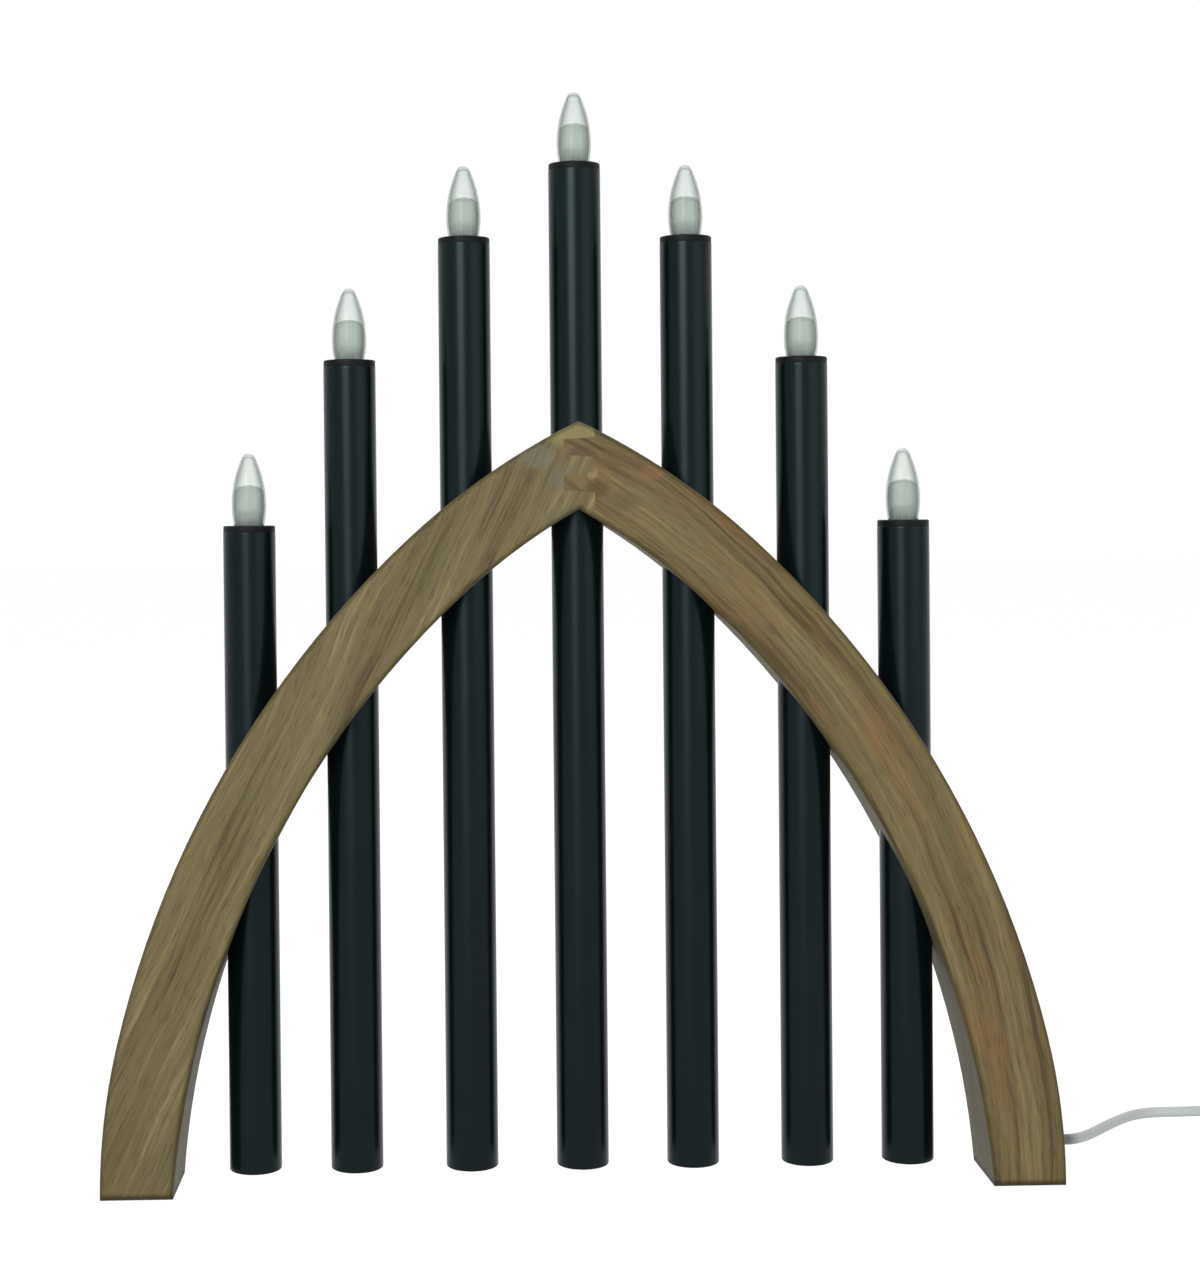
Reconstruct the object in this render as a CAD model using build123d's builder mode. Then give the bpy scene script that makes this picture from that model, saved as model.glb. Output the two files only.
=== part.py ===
from build123d import *
import math
import os

os.makedirs("parts", exist_ok=True)

# Wooden arch, in millimetres: X to the right, Y to the back, Z up, origin on the floor under its middle
arch_width = 440.0
arch_height = 351.0
arch_depth = 50.0
rail_width = 35.5
foot_width = 33.0
edge_round = 3.0
shoulder_shares = (0.9626, 0.198)
haunch_shares = (0.3555, 0.848)

# Finger joint at the crown
finger_count = 5
finger_reach = 7.0
finger_draft = 0.5

# Candle tubes
tube_diameter = 24.0
tube_wall = 0.8
tube_bottom = 7.4
tallest_top = 470.3
tube_place_shares = (-0.688, -0.475, -0.233, 0.0, 0.233, 0.475, 0.688)
tube_top_shares = (0.648, 0.809, 0.928, 1.0, 0.928, 0.809, 0.648)
tube_fit = 0.1
end_cap_rim = 1.2
end_cap_spigot = 6.0
end_cap_round = 1.0

# Wiring groove in the back of the arch, with the strip that closes it
groove_width = 10.0
groove_depth = 7.0
strip_width = 14.0
strip_thickness = 2.0
strip_fit = 0.1
groove_start_share = 0.07
wire_start_share = 0.37
crown_bend = 16.0
groove_overrun = 6.0
lead_hole_radius = 3.0
core_count = 2
core_radius = 1.0
core_gap = 0.1
core_bend = 1.8
lead_radius = 0.8
lead_spread = 0.9
lead_bend = 2.5

# Countersunk screws that hold the tubes
screw_radius = 1.5
screw_head_radius = 2.8
screw_head_angle = 90.0
screw_length = 16.5
screw_fit = 0.06
screw_offset = 11.0

# Lamp holders, measured down from the top of their collar
collar_height = 3.0
holder_height = 24.0
holder_floor_top = 16.0
holder_floor_bottom = 19.0
holder_skirt = 1.5
mouth_radius = 7.7
mouth_depth = 3.4
collar_round = 0.6
shell_radius = 5.35
shell_wall = 0.3
shell_top = 3.7
shell_bottom = 14.5
shell_ledge = 3.6
part_fit = 0.1
tag_width = 3.0
tag_thickness = 0.35
tag_place = 4.0
tag_bottom = 22.5
slot_fit = 0.2
spring_top = 12.9
spring_reach = 2.8

# Bulbs, measured from the top of the collar
bulb_height = 33.3
bulb_belly_radius = 8.05
bulb_belly_height = 11.0
bulb_foot_radius = 6.3
bulb_foot_depth = 2.6
bulb_tip_radius = 3.2
lens_wall = 1.2
cap_radius = 4.75
cap_wall = 0.3
cap_rim = 0.4
cap_bottom = 10.5
foot_insulator_radius = 2.2
foot_insulator_bottom = 11.7
contact_radius = 1.5
contact_bottom = 12.6
contact_round = 0.5
board_radius = 5.0
board_thickness = 1.0
stem_radius = 4.3
stem_bottom = 9.5
guide_radius = 4.6
guide_top = 19.5
guide_round = 1.6

# Mains cord
cord_diameter = 5.0
cord_exit_z = 9.5
cord_straight = 14.0
cord_fit = 0.1
grip_radius = 3.3
grip_length = 3.6
grip_gap = 0.3
arc_run_share = 0.45
cord_steps = (
    (32.5, 27.0, 3.0),
    (50.0, 58.5, 2.5),
    (73.0, 82.0, 2.5),
    (104.0, 84.0, 2.5),
    (125.0, 80.5, 2.5),
    (145.0, 80.5, 2.5),
)

# Put-away coil of the cord, in two layers
coil_radius = 41.2
coil_pitch = 5.45
coil_turns_each_layer = 4
coil_tail_radius = 52.0
gap_samples = 700
gap_reach = 4 * cord_diameter

# Flat mains plug
plug_width = 35.3
plug_thickness = 13.7
plug_body_length = 34.0
plug_neck_width = 14.0
plug_neck_thickness = 10.0
plug_corner = 4.5
plug_shoulder_share = 0.5
boot_length = 22.0
boot_radius = 3.9
boot_end_radius = 3.3
pin_radius = 2.0
pin_length = 19.0
pin_spacing = 19.0
pin_root = 6.0
pin_root_radius = 1.6
pin_root_bare = 0.2
pin_tip = 0.8
pin_fit = 0.04

cut_overrun = 1.0

half_width = arch_width / 2
back = arch_depth / 2
tube_radius = tube_diameter / 2
tube_inside = tube_radius - tube_wall
cord_radius = cord_diameter / 2
groove_floor = back - strip_thickness - groove_depth
cord_exit_y = groove_floor + groove_depth / 2
cord_points = [
    (half_width + cord_straight, cord_exit_y, cord_exit_z),
    *[(half_width + x, cord_exit_y + y, z) for x, y, z in cord_steps],
]
tubes = [
    (place * half_width, top * tallest_top)
    for place, top in zip(tube_place_shares, tube_top_shares)
]


# The outer edge of the right half: three arcs, each tangent to the one before it
outer_foot_arc = TangentArc(
    (half_width, 0),
    (shoulder_shares[0] * half_width, shoulder_shares[1] * arch_height),
    tangent=(0, 1),
)
outer_main_arc = TangentArc(
    outer_foot_arc @ 1,
    (haunch_shares[0] * half_width, haunch_shares[1] * arch_height),
    tangent=outer_foot_arc % 1,
)
outer_crown_arc = TangentArc(outer_main_arc @ 1, (0, arch_height), tangent=outer_main_arc % 1)


def inward(way):
    """The direction square to an edge's own, towards the inside of the right half."""
    return Vector(-way.Y, way.X)


def inset_points(inset, foot_inset):
    """Foot, shoulder, haunch and crown of a line that runs inside the outer edge."""
    foot = Vector(half_width - foot_inset, 0)
    shoulder = outer_foot_arc @ 1 + inward(outer_foot_arc % 1) * inset
    haunch = outer_main_arc @ 1 + inward(outer_main_arc % 1) * inset
    crown = outer_crown_arc @ 1 + inward(outer_crown_arc % 1) * inset
    return foot, shoulder, haunch, crown


def height_at(x, inset):
    """Height of that line above the floor at x, between the crown and the shoulder."""
    arc = outer_crown_arc if abs(x) < (outer_main_arc @ 1).X else outer_main_arc
    centre = arc.arc_center
    return centre.Y + math.sqrt((arc.radius - inset) ** 2 - (abs(x) - centre.X) ** 2)


def slope_at(x):
    """Angle of the rail from the level at x."""
    arc = outer_crown_arc if abs(x) < (outer_main_arc @ 1).X else outer_main_arc
    centre = arc.arc_center
    return math.asin((abs(x) - centre.X) / (arc.radius - rail_width / 2))


def rail_line(inset, foot_inset, start_share, end_x):
    """A line along both halves, from the right foot over the crown, with a bend there, to the left."""
    foot, shoulder, haunch, _ = inset_points(inset, foot_inset)
    foot_arc = TangentArc(shoulder, foot, tangent=-(outer_foot_arc % 1))
    start = foot_arc @ (1 - start_share)
    first = TangentArc(start, shoulder, tangent=-(foot_arc % (1 - start_share)))
    bend = Vector(crown_bend, height_at(crown_bend, inset))
    main = TangentArc(shoulder, haunch, tangent=first % 1)
    crown = TangentArc(haunch, bend, tangent=main % 1)
    over = TangentArc(bend, (-bend.X, bend.Y), tangent=crown % 1)
    down = TangentArc(over @ 1, (-haunch.X, haunch.Y), tangent=over % 1)
    last = TangentArc(down @ 1, (end_x, height_at(end_x, inset)), tangent=down % 1)
    return [first, main, crown, over, down, last]


def rail_path(start_share, end_x):
    """The line along the middle of both halves."""
    return rail_line(rail_width / 2, foot_width / 2, start_share, end_x)


def groove_edge(width):
    """The closed edge of a band of one width along the middle of both halves."""
    end_x = tubes[0][0] - groove_overrun
    upper = rail_line((rail_width - width) / 2, (foot_width - width) / 2, groove_start_share, end_x)
    lower = rail_line((rail_width + width) / 2, (foot_width + width) / 2, groove_start_share, end_x)
    return [
        *upper,
        *lower,
        Line(upper[0] @ 0, lower[0] @ 0),
        Line(upper[-1] @ 1, lower[-1] @ 1),
    ]


def groove_middle_x(z):
    """Where the middle of the groove lies in the right foot, at a height above the floor."""
    foot_arc = rail_path(groove_start_share, tubes[0][0])[0]
    centre = foot_arc.arc_center
    return centre.X + math.sqrt(foot_arc.radius**2 - (z - centre.Y) ** 2)


cord_end_x = groove_middle_x(cord_exit_z + grip_radius) + groove_width / 2 - grip_gap - grip_length
crown_line_height = (rail_path(groove_start_share, tubes[0][0])[3] @ 0.5).Y
lead_heights = [
    crown_line_height if abs(x) < crown_bend else height_at(x, rail_width / 2) for x, _ in tubes
]
screw_heights = [
    height - screw_offset / math.cos(slope_at(x)) for (x, _), height in zip(tubes, lead_heights)
]
notch_height = height_at(0, rail_width)


def back_seat(x, z):
    """A plane on the back face of the arch, facing out."""
    return Plane(origin=(x, back, z), x_dir=(-1, 0, 0), z_dir=(0, 1, 0))


def upright(x, z):
    """An upright plane across the arch, its own height measured from z."""
    return Plane(origin=(x, 0, z), x_dir=(1, 0, 0), z_dir=(0, -1, 0))


def cord_plane(x):
    """A plane square to the cord where it lies in the right foot."""
    return Plane(origin=(x, cord_exit_y, cord_exit_z), z_dir=(1, 0, 0))


def whole_arch():
    """Both halves in one piece, with bores, groove and screw holes, before the finger joint is cut."""
    outer = inset_points(0, 0)
    inner = inset_points(rail_width, foot_width)
    strip_edge = groove_edge(strip_width)
    deep_edge = groove_edge(groove_width)
    with BuildPart() as arch:
        with BuildSketch(Plane.XZ):
            with BuildLine():
                add([outer_foot_arc, outer_main_arc, outer_crown_arc])
                Line(outer[3], inner[3])
                TangentArc(inner[2], inner[3], tangent=outer_main_arc % 1)
                TangentArc(inner[1], inner[2], tangent=outer_foot_arc % 1)
                TangentArc(inner[1], inner[0], tangent=-(outer_foot_arc % 1))
                Line(inner[0], outer[0])
            make_face()
        extrude(amount=arch_depth / 2, both=True)
        split(bisect_by=Plane.YZ, keep=Keep.TOP)
        mirror(about=Plane.YZ)
        fillet(arch.faces().filter_by(Axis.Y).edges(), edge_round)
        with Locations(*[(x, 0, 0) for x, _ in tubes]):
            Cylinder(
                tube_radius + tube_fit,
                arch_height + cut_overrun,
                align=(Align.CENTER, Align.CENTER, Align.MIN),
                mode=Mode.SUBTRACT,
            )
        with BuildSketch(Plane.XZ.offset(-back)):
            with BuildLine():
                add(strip_edge)
            make_face()
        extrude(amount=strip_thickness, mode=Mode.SUBTRACT)
        with BuildSketch(Plane.XZ.offset(-back)):
            with BuildLine():
                add(deep_edge)
            make_face()
        extrude(amount=strip_thickness + groove_depth, mode=Mode.SUBTRACT)
        with Locations(*[back_seat(x, z) for (x, _), z in zip(tubes, lead_heights)]):
            Hole(lead_hole_radius, depth=back)
        with Locations(*[back_seat(x, z) for (x, _), z in zip(tubes, screw_heights)]):
            CounterSinkHole(
                screw_radius + screw_fit,
                screw_head_radius + screw_fit,
                depth=back,
                counter_sink_angle=screw_head_angle,
            )
        with Locations(cord_plane(half_width + cut_overrun)):
            Hole(cord_radius + cord_fit, depth=half_width - cord_end_x + cut_overrun)
    return arch.part


def finger_line():
    """The zigzag between the two halves, from below the notch to above the crown."""
    pitch = (arch_height - notch_height) / finger_count
    side = 1
    points = [(side * finger_reach, notch_height - pitch)]
    for number in range(1, finger_count):
        height = notch_height + number * pitch
        points.append((side * finger_reach, height - finger_draft))
        side = -side
        points.append((side * finger_reach, height + finger_draft))
    points.append((side * finger_reach, arch_height + pitch))
    return points


def arch_half(name, side, whole):
    """One half of the arch: what of the whole lies on its own side of the finger line."""
    line = finger_line()
    far = side * arch_width
    below = -cut_overrun
    around = [(far, line[-1][1]), (far, below), (line[0][0], below)]
    with BuildPart() as half:
        add(whole)
        with BuildSketch(Plane.XZ):
            with BuildLine():
                Polyline(*line, *around, close=True)
            make_face()
        extrude(amount=arch_depth, both=True, mode=Mode.INTERSECT)
    half.part.label = name
    export_step(half.part, f"parts/{name}.step")


def groove_strip(name, keep):
    """The wooden strip that closes the groove, one length on each side of the crown."""
    edge = groove_edge(strip_width - 2 * strip_fit)
    with BuildPart() as strip:
        with BuildSketch(Plane.XZ.offset(-back)):
            with BuildLine():
                add(edge)
            make_face()
        extrude(amount=strip_thickness)
        split(bisect_by=Plane.YZ, keep=keep)
    strip.part.label = name
    export_step(strip.part, f"parts/{name}.step")


def candle_tube(number, x, top, lead_height, screw_height):
    """A thin tube with a hole for its leads and one for its screw, both at the back."""
    start = tube_bottom + end_cap_rim
    with BuildPart() as tube:
        with BuildSketch(Plane((x, 0, start))):
            Circle(tube_radius)
            Circle(tube_inside, mode=Mode.SUBTRACT)
        extrude(amount=top - collar_height - start)
        with Locations(back_seat(x, lead_height)):
            Hole(lead_hole_radius, depth=back)
        with Locations(back_seat(x, screw_height)):
            Hole(screw_radius + screw_fit, depth=back)
    tube.part.label = f"candle_tube_{number}"
    export_step(tube.part, f"parts/candle_tube_{number}.step")


def tube_end_caps():
    """A plug with a rounded rim in the lower end of each tube."""
    with BuildPart() as caps:
        for x, _ in tubes:
            with BuildSketch(upright(x, tube_bottom)):
                with BuildLine():
                    Polyline(
                        (0, end_cap_rim + end_cap_spigot),
                        (0, 0),
                        (tube_radius - end_cap_round, 0),
                    )
                    RadiusArc(
                        (tube_radius - end_cap_round, 0),
                        (tube_radius, end_cap_round),
                        -end_cap_round,
                    )
                    Polyline(
                        (tube_radius, end_cap_round),
                        (tube_radius, end_cap_rim),
                        (tube_inside - tube_fit, end_cap_rim),
                        (tube_inside - tube_fit, end_cap_rim + end_cap_spigot),
                        (0, end_cap_rim + end_cap_spigot),
                    )
                make_face()
            revolve(axis=Axis((x, 0, 0), (0, 0, 1)))
    caps.part.label = "tube_end_caps"
    export_step(caps.part, "parts/tube_end_caps.step")


def lamp_holder(number, x, top):
    """The holder in the top of a tube: collar, plug and socket bore, with a seat for its floor."""
    plug_radius = tube_inside - tube_fit
    bore_radius = shell_radius + part_fit
    seat_radius = plug_radius - holder_skirt
    with BuildPart() as holder:
        with BuildSketch(upright(x, top)):
            with BuildLine():
                Polyline(
                    (bore_radius, -holder_floor_top),
                    (seat_radius, -holder_floor_top),
                    (seat_radius, -holder_height),
                    (plug_radius, -holder_height),
                    (plug_radius, -collar_height),
                    (tube_radius, -collar_height),
                    (tube_radius, -collar_round),
                )
                RadiusArc(
                    (tube_radius, -collar_round),
                    (tube_radius - collar_round, 0),
                    -collar_round,
                )
                Polyline(
                    (tube_radius - collar_round, 0),
                    (mouth_radius, 0),
                    (mouth_radius, -mouth_depth),
                    (bore_radius, -mouth_depth),
                    (bore_radius, -holder_floor_top),
                )
            make_face()
        revolve(axis=Axis((x, 0, 0), (0, 0, 1)))
    holder.part.label = f"lamp_holder_{number}"
    export_step(holder.part, f"parts/lamp_holder_{number}.step")


def holder_floors():
    """The disc under each socket, pressed into the holder, with two slots for the tags."""
    with BuildPart() as floors:
        for x, top in tubes:
            with BuildSketch(Plane((x, 0, top - holder_floor_bottom))):
                Circle(tube_inside - tube_fit - holder_skirt - part_fit)
                with Locations((0, tag_place), (0, -tag_place)):
                    Rectangle(tag_width + 2 * slot_fit, tag_thickness + 2 * slot_fit, mode=Mode.SUBTRACT)
            extrude(amount=holder_floor_bottom - holder_floor_top)
    floors.part.label = "holder_floors"
    export_step(floors.part, "parts/holder_floors.step")


def holder_shells():
    """The plain screw shell of each holder, with its turned-in ledge and solder tag."""
    with BuildPart() as shells:
        for x, top in tubes:
            with BuildSketch(upright(x, top)):
                with BuildLine():
                    Polyline(
                        (shell_radius, -shell_top),
                        (shell_radius, -shell_bottom),
                        (shell_ledge, -shell_bottom),
                        (shell_ledge, -shell_bottom + shell_wall),
                        (shell_radius - shell_wall, -shell_bottom + shell_wall),
                        (shell_radius - shell_wall, -shell_top),
                        close=True,
                    )
                make_face()
            revolve(axis=Axis((x, 0, 0), (0, 0, 1)))
            with BuildSketch(Plane((x, -tag_place, top - tag_bottom))):
                Rectangle(tag_width, tag_thickness)
            extrude(amount=tag_bottom - shell_bottom + shell_wall)
    shells.part.label = "holder_shells"
    export_step(shells.part, "parts/holder_shells.step")


def holder_springs():
    """The bent strip under each bulb: solder tag, foot on the holder's floor and rising tongue."""
    foot = -holder_floor_top + tag_thickness / 2
    with BuildPart() as springs:
        for x, top in tubes:
            with BuildSketch(Plane(origin=(x, 0, top), x_dir=(0, 1, 0), z_dir=(1, 0, 0))):
                with BuildLine() as line:
                    FilletPolyline(
                        (tag_place, -tag_bottom),
                        (tag_place, foot),
                        (-spring_reach, foot),
                        (0, -spring_top - tag_thickness / 2),
                        (spring_reach, foot + tag_thickness + part_fit),
                        radius=tag_thickness,
                    )
                trace(line.line, tag_thickness)
            extrude(amount=tag_width / 2, both=True)
    springs.part.label = "holder_springs"
    export_step(springs.part, "parts/holder_springs.step")


def tube_leads():
    """Two leads in each tube, from the groove through the hole and up to the holder's tags."""
    with BuildPart() as leads:
        for (x, top), height in zip(tubes, lead_heights):
            for side in (1, -1):
                across = x + side * lead_spread
                with BuildLine() as line:
                    FilletPolyline(
                        (across, groove_floor, height),
                        (across, side * tag_place, height),
                        (across, side * tag_place, top - tag_bottom),
                        radius=lead_bend,
                    )
                with BuildSketch(Plane(origin=line.line @ 0, z_dir=line.line % 0)):
                    Circle(lead_radius)
                sweep()
    leads.part.label = "tube_leads"
    export_step(leads.part, "parts/tube_leads.step")


def tube_fixing_screws():
    """One countersunk screw for each tube, from the back through the wood and the tube's wall."""
    with BuildPart() as screws:
        for (x, _), height in zip(tubes, screw_heights):
            axis = Axis((x, 0, height), (0, 1, 0))
            with BuildSketch(Plane((x, back, height), x_dir=(1, 0, 0), z_dir=(0, 0, 1))):
                with BuildLine():
                    Polyline(
                        (0, 0),
                        (screw_head_radius, 0),
                        (screw_radius, screw_radius - screw_head_radius),
                        (screw_radius, screw_radius - screw_length),
                        (0, -screw_length),
                        close=True,
                    )
                make_face()
            revolve(axis=axis)
    screws.part.label = "tube_fixing_screws"
    export_step(screws.part, "parts/tube_fixing_screws.step")


def arch_wiring():
    """Two cores from the end of the cord along the floor of the groove to the last tube."""
    path = rail_path(wire_start_share, tubes[0][0])
    start = path[0] @ 0
    way = path[0] % 0
    wire_y = groove_floor + core_radius + core_gap
    end_y = cord_exit_y - core_radius - core_gap / 2
    turn_x = cord_end_x - 2 * core_bend
    with BuildPart() as wiring:
        for step in range(core_count):
            rise = step * (2 * core_radius + core_gap)
            plane = Plane.XZ.offset(-(wire_y + rise))
            begin = plane.from_local_coords(start)
            before = plane.from_local_coords(start - way * (start.Y - cord_exit_z) / 2)
            with BuildLine() as line:
                FilletPolyline(
                    (cord_end_x, end_y + rise, cord_exit_z),
                    (turn_x, end_y + rise, cord_exit_z),
                    before,
                    begin,
                    radius=core_bend,
                )
                for arc in path:
                    add(plane.from_local_coords(arc))
            with BuildSketch(Plane(origin=line.line @ 0, z_dir=line.line % 0)):
                Circle(core_radius)
            sweep(path=line.line)
    wiring.part.label = "arch_wiring"
    export_step(wiring.part, "parts/arch_wiring.step")


def bulb_lens_line(wall):
    """The outer edge of the clear envelope, or its inner edge when a wall is given."""
    belly = Vector(bulb_belly_radius - wall, bulb_belly_height)
    tip_radius = bulb_tip_radius - wall
    tip_centre = Vector(0, bulb_height - bulb_tip_radius)
    rise = tip_centre.Y - belly.Y
    side_radius = (belly.X**2 + rise**2 - tip_radius**2) / (2 * (belly.X - tip_radius))
    side_centre = Vector(belly.X - side_radius, belly.Y)
    meeting = side_centre + (tip_centre - side_centre).normalized() * side_radius
    foot = (bulb_foot_radius - wall, -bulb_foot_depth)
    lower = TangentArc(belly, foot, tangent=(0, -1))
    upper = TangentArc(belly, meeting, tangent=(0, 1))
    tip = TangentArc(meeting, (0, bulb_height - wall), tangent=upper % 1)
    return [lower, upper, tip]


def bulb_lens(number, x, top):
    """The clear candle-shaped envelope, open below."""
    outside = bulb_lens_line(0)
    inside = bulb_lens_line(lens_wall)
    with BuildPart() as lens:
        with BuildSketch(upright(x, top)):
            with BuildLine():
                add(outside)
                Line((0, bulb_height), (0, bulb_height - lens_wall))
                add(inside)
                Line(
                    (bulb_foot_radius - lens_wall, -bulb_foot_depth),
                    (bulb_foot_radius, -bulb_foot_depth),
                )
            make_face()
        revolve(axis=Axis((x, 0, 0), (0, 0, 1)))
    lens.part.label = f"bulb_lens_{number}"
    export_step(lens.part, f"parts/bulb_lens_{number}.step")


def bulb_led(number, x, top):
    """The lamp inside: stem in the cap, board on its rim and the light guide above."""
    board_top = -bulb_foot_depth + board_thickness
    with BuildPart() as led:
        with BuildSketch(upright(x, top)):
            with BuildLine():
                Polyline(
                    (0, guide_top),
                    (0, -stem_bottom),
                    (stem_radius, -stem_bottom),
                    (stem_radius, -bulb_foot_depth),
                    (board_radius, -bulb_foot_depth),
                    (board_radius, board_top),
                    (guide_radius, board_top),
                    (guide_radius, guide_top - guide_round),
                )
                RadiusArc(
                    (guide_radius, guide_top - guide_round),
                    (guide_radius - guide_round, guide_top),
                    -guide_round,
                )
                Line((guide_radius - guide_round, guide_top), (0, guide_top))
            make_face()
        revolve(axis=Axis((x, 0, 0), (0, 0, 1)))
    led.part.label = f"bulb_led_{number}"
    export_step(led.part, f"parts/bulb_led_{number}.step")


def bulb_cap(number, x, top):
    """The small screw cap, with the rim that the envelope stands on."""
    inside = cap_radius - cap_wall
    rim_bottom = -bulb_foot_depth - cap_rim
    with BuildPart() as cap:
        with BuildSketch(upright(x, top)):
            with BuildLine():
                Polyline(
                    (inside, -bulb_foot_depth),
                    (bulb_foot_radius, -bulb_foot_depth),
                    (bulb_foot_radius, rim_bottom),
                    (cap_radius, rim_bottom),
                    (cap_radius, -cap_bottom),
                    (inside, -cap_bottom),
                    close=True,
                )
            make_face()
        revolve(axis=Axis((x, 0, 0), (0, 0, 1)))
    cap.part.label = f"bulb_cap_{number}"
    export_step(cap.part, f"parts/bulb_cap_{number}.step")


def bulb_contact(number, x, top):
    """The insulating cone under the cap, with the centre contact at its end."""
    with BuildPart() as contact:
        with BuildSketch(upright(x, top)):
            with BuildLine():
                Polyline(
                    (0, -cap_bottom),
                    (cap_radius - cap_wall / 2, -cap_bottom),
                    (foot_insulator_radius, -foot_insulator_bottom),
                    (contact_radius, -foot_insulator_bottom),
                )
                Polyline(
                    (contact_radius, -foot_insulator_bottom),
                    (contact_radius, contact_round - contact_bottom),
                    (contact_radius - contact_round, -contact_bottom),
                    (0, -contact_bottom),
                    (0, -cap_bottom),
                )
            make_face()
        revolve(axis=Axis((x, 0, 0), (0, 0, 1)))
    contact.part.label = f"bulb_contact_{number}"
    export_step(contact.part, f"parts/bulb_contact_{number}.step")


def run_radii(points):
    """An arc radius for each corner: as large as the shorter of its two runs allows."""
    radii = []
    for before, here, after in zip(points, points[1:], points[2:]):
        run_in = Vector(*here) - Vector(*before)
        run_out = Vector(*after) - Vector(*here)
        half_turn = math.radians(run_in.get_angle(run_out)) / 2
        radii.append(arc_run_share * min(run_in.length, run_out.length) / math.tan(half_turn))
    return radii


def cord_lead():
    """The free cord, from its grip in the right foot across the floor to the coil."""
    points = [(cord_end_x, cord_exit_y, cord_exit_z), *cord_points]
    radii = run_radii(points)
    print("cord radii in diameters:", [round(radius / cord_diameter, 1) for radius in radii])
    with BuildPart() as lead:
        with BuildLine() as line:
            FilletPolyline(*points, radius=radii)
        with BuildSketch(Plane(origin=line.line @ 0, z_dir=line.line % 0)):
            Circle(cord_radius)
        sweep()
    length = line.wire().length
    print("cord lead length:", round(length, 1), "volume over section times length:")
    print(round(lead.part.volume / (math.pi * cord_radius**2 * length), 4))
    lead.part.label = "cord_lead"
    export_step(lead.part, "parts/cord_lead.step")
    return length


def cord_grip():
    """The sleeve that is pressed on the cord inside the groove, so that it can't be pulled out."""
    with BuildPart() as grip:
        with BuildSketch(cord_plane(cord_end_x + cord_fit)):
            Circle(grip_radius)
            Circle(cord_radius + cord_fit, mode=Mode.SUBTRACT)
        extrude(amount=grip_length)
    grip.part.label = "cord_grip"
    export_step(grip.part, "parts/cord_grip.step")


def half_turn_arc(start, way, radius):
    """Half a turn to the right in a level plane, as an arc through its middle."""
    across = Vector(way.Y, -way.X)
    return ThreePointArc(start, start + (across + way) * radius, start + across * 2 * radius)


def coil_line():
    """The line of the coil: inwards on the floor, up a layer in the innermost half turn, and outwards."""
    way = Vector(1, 0, 0)
    start = Vector(*cord_points[-1])
    edges = [Line(start, start + way * cord_diameter)]
    halves = 2 * coil_turns_each_layer
    inward_radii = [coil_radius - number * coil_pitch / 2 for number in range(halves)]
    for radius in inward_radii:
        edges.append(half_turn_arc(edges[-1] @ 1, way, radius))
        way = -way
    inner_radius = coil_radius - coil_turns_each_layer * coil_pitch
    begin = edges[-1] @ 1
    across = Vector(way.Y, -way.X)
    crest = math.hypot(inner_radius, coil_pitch / 2)
    middle = begin + across * inner_radius + way * crest + Vector(0, 0, coil_pitch / 2)
    above = begin + across * 2 * inner_radius + Vector(0, 0, coil_pitch)
    edges.append(TangentArc(begin, middle, tangent=way))
    edges.append(TangentArc(middle, above, tangent=edges[-1] % 1))
    way = -way
    for radius in reversed(inward_radii[1:]):
        edges.append(half_turn_arc(edges[-1] @ 1, way, radius))
        way = -way
    across = Vector(way.Y, -way.X)
    end = edges[-1] @ 1
    edges.append(TangentArc(end, end + (way + across) * coil_tail_radius, tangent=way))
    edges.append(Line(edges[-1] @ 1, edges[-1] @ 1 + across * cord_diameter))
    return edges


def least_gap(line, samples):
    """The least clear distance between two stretches of a wound line."""
    points = [line @ (number / samples) for number in range(samples + 1)]
    apart = math.ceil(samples * gap_reach / line.length)
    least = min(
        (here - there).length
        for number, here in enumerate(points)
        for there in points[number + apart :]
    )
    return least - cord_diameter


def cord_coil():
    """The put-away length of the cord, wound as one tube."""
    turns = coil_line()
    with BuildPart() as coil:
        with BuildLine() as line:
            add(turns)
        path = line.wire()
        with BuildSketch(Plane(origin=path @ 0, z_dir=path % 0)):
            Circle(cord_radius)
        sweep(path=path)
    print("coil length:", round(path.length, 1))
    print("coil's least gap to itself:", round(least_gap(path, gap_samples), 2))
    coil.part.label = "cord_coil"
    export_step(coil.part, "parts/cord_coil.step")
    return path


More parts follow.
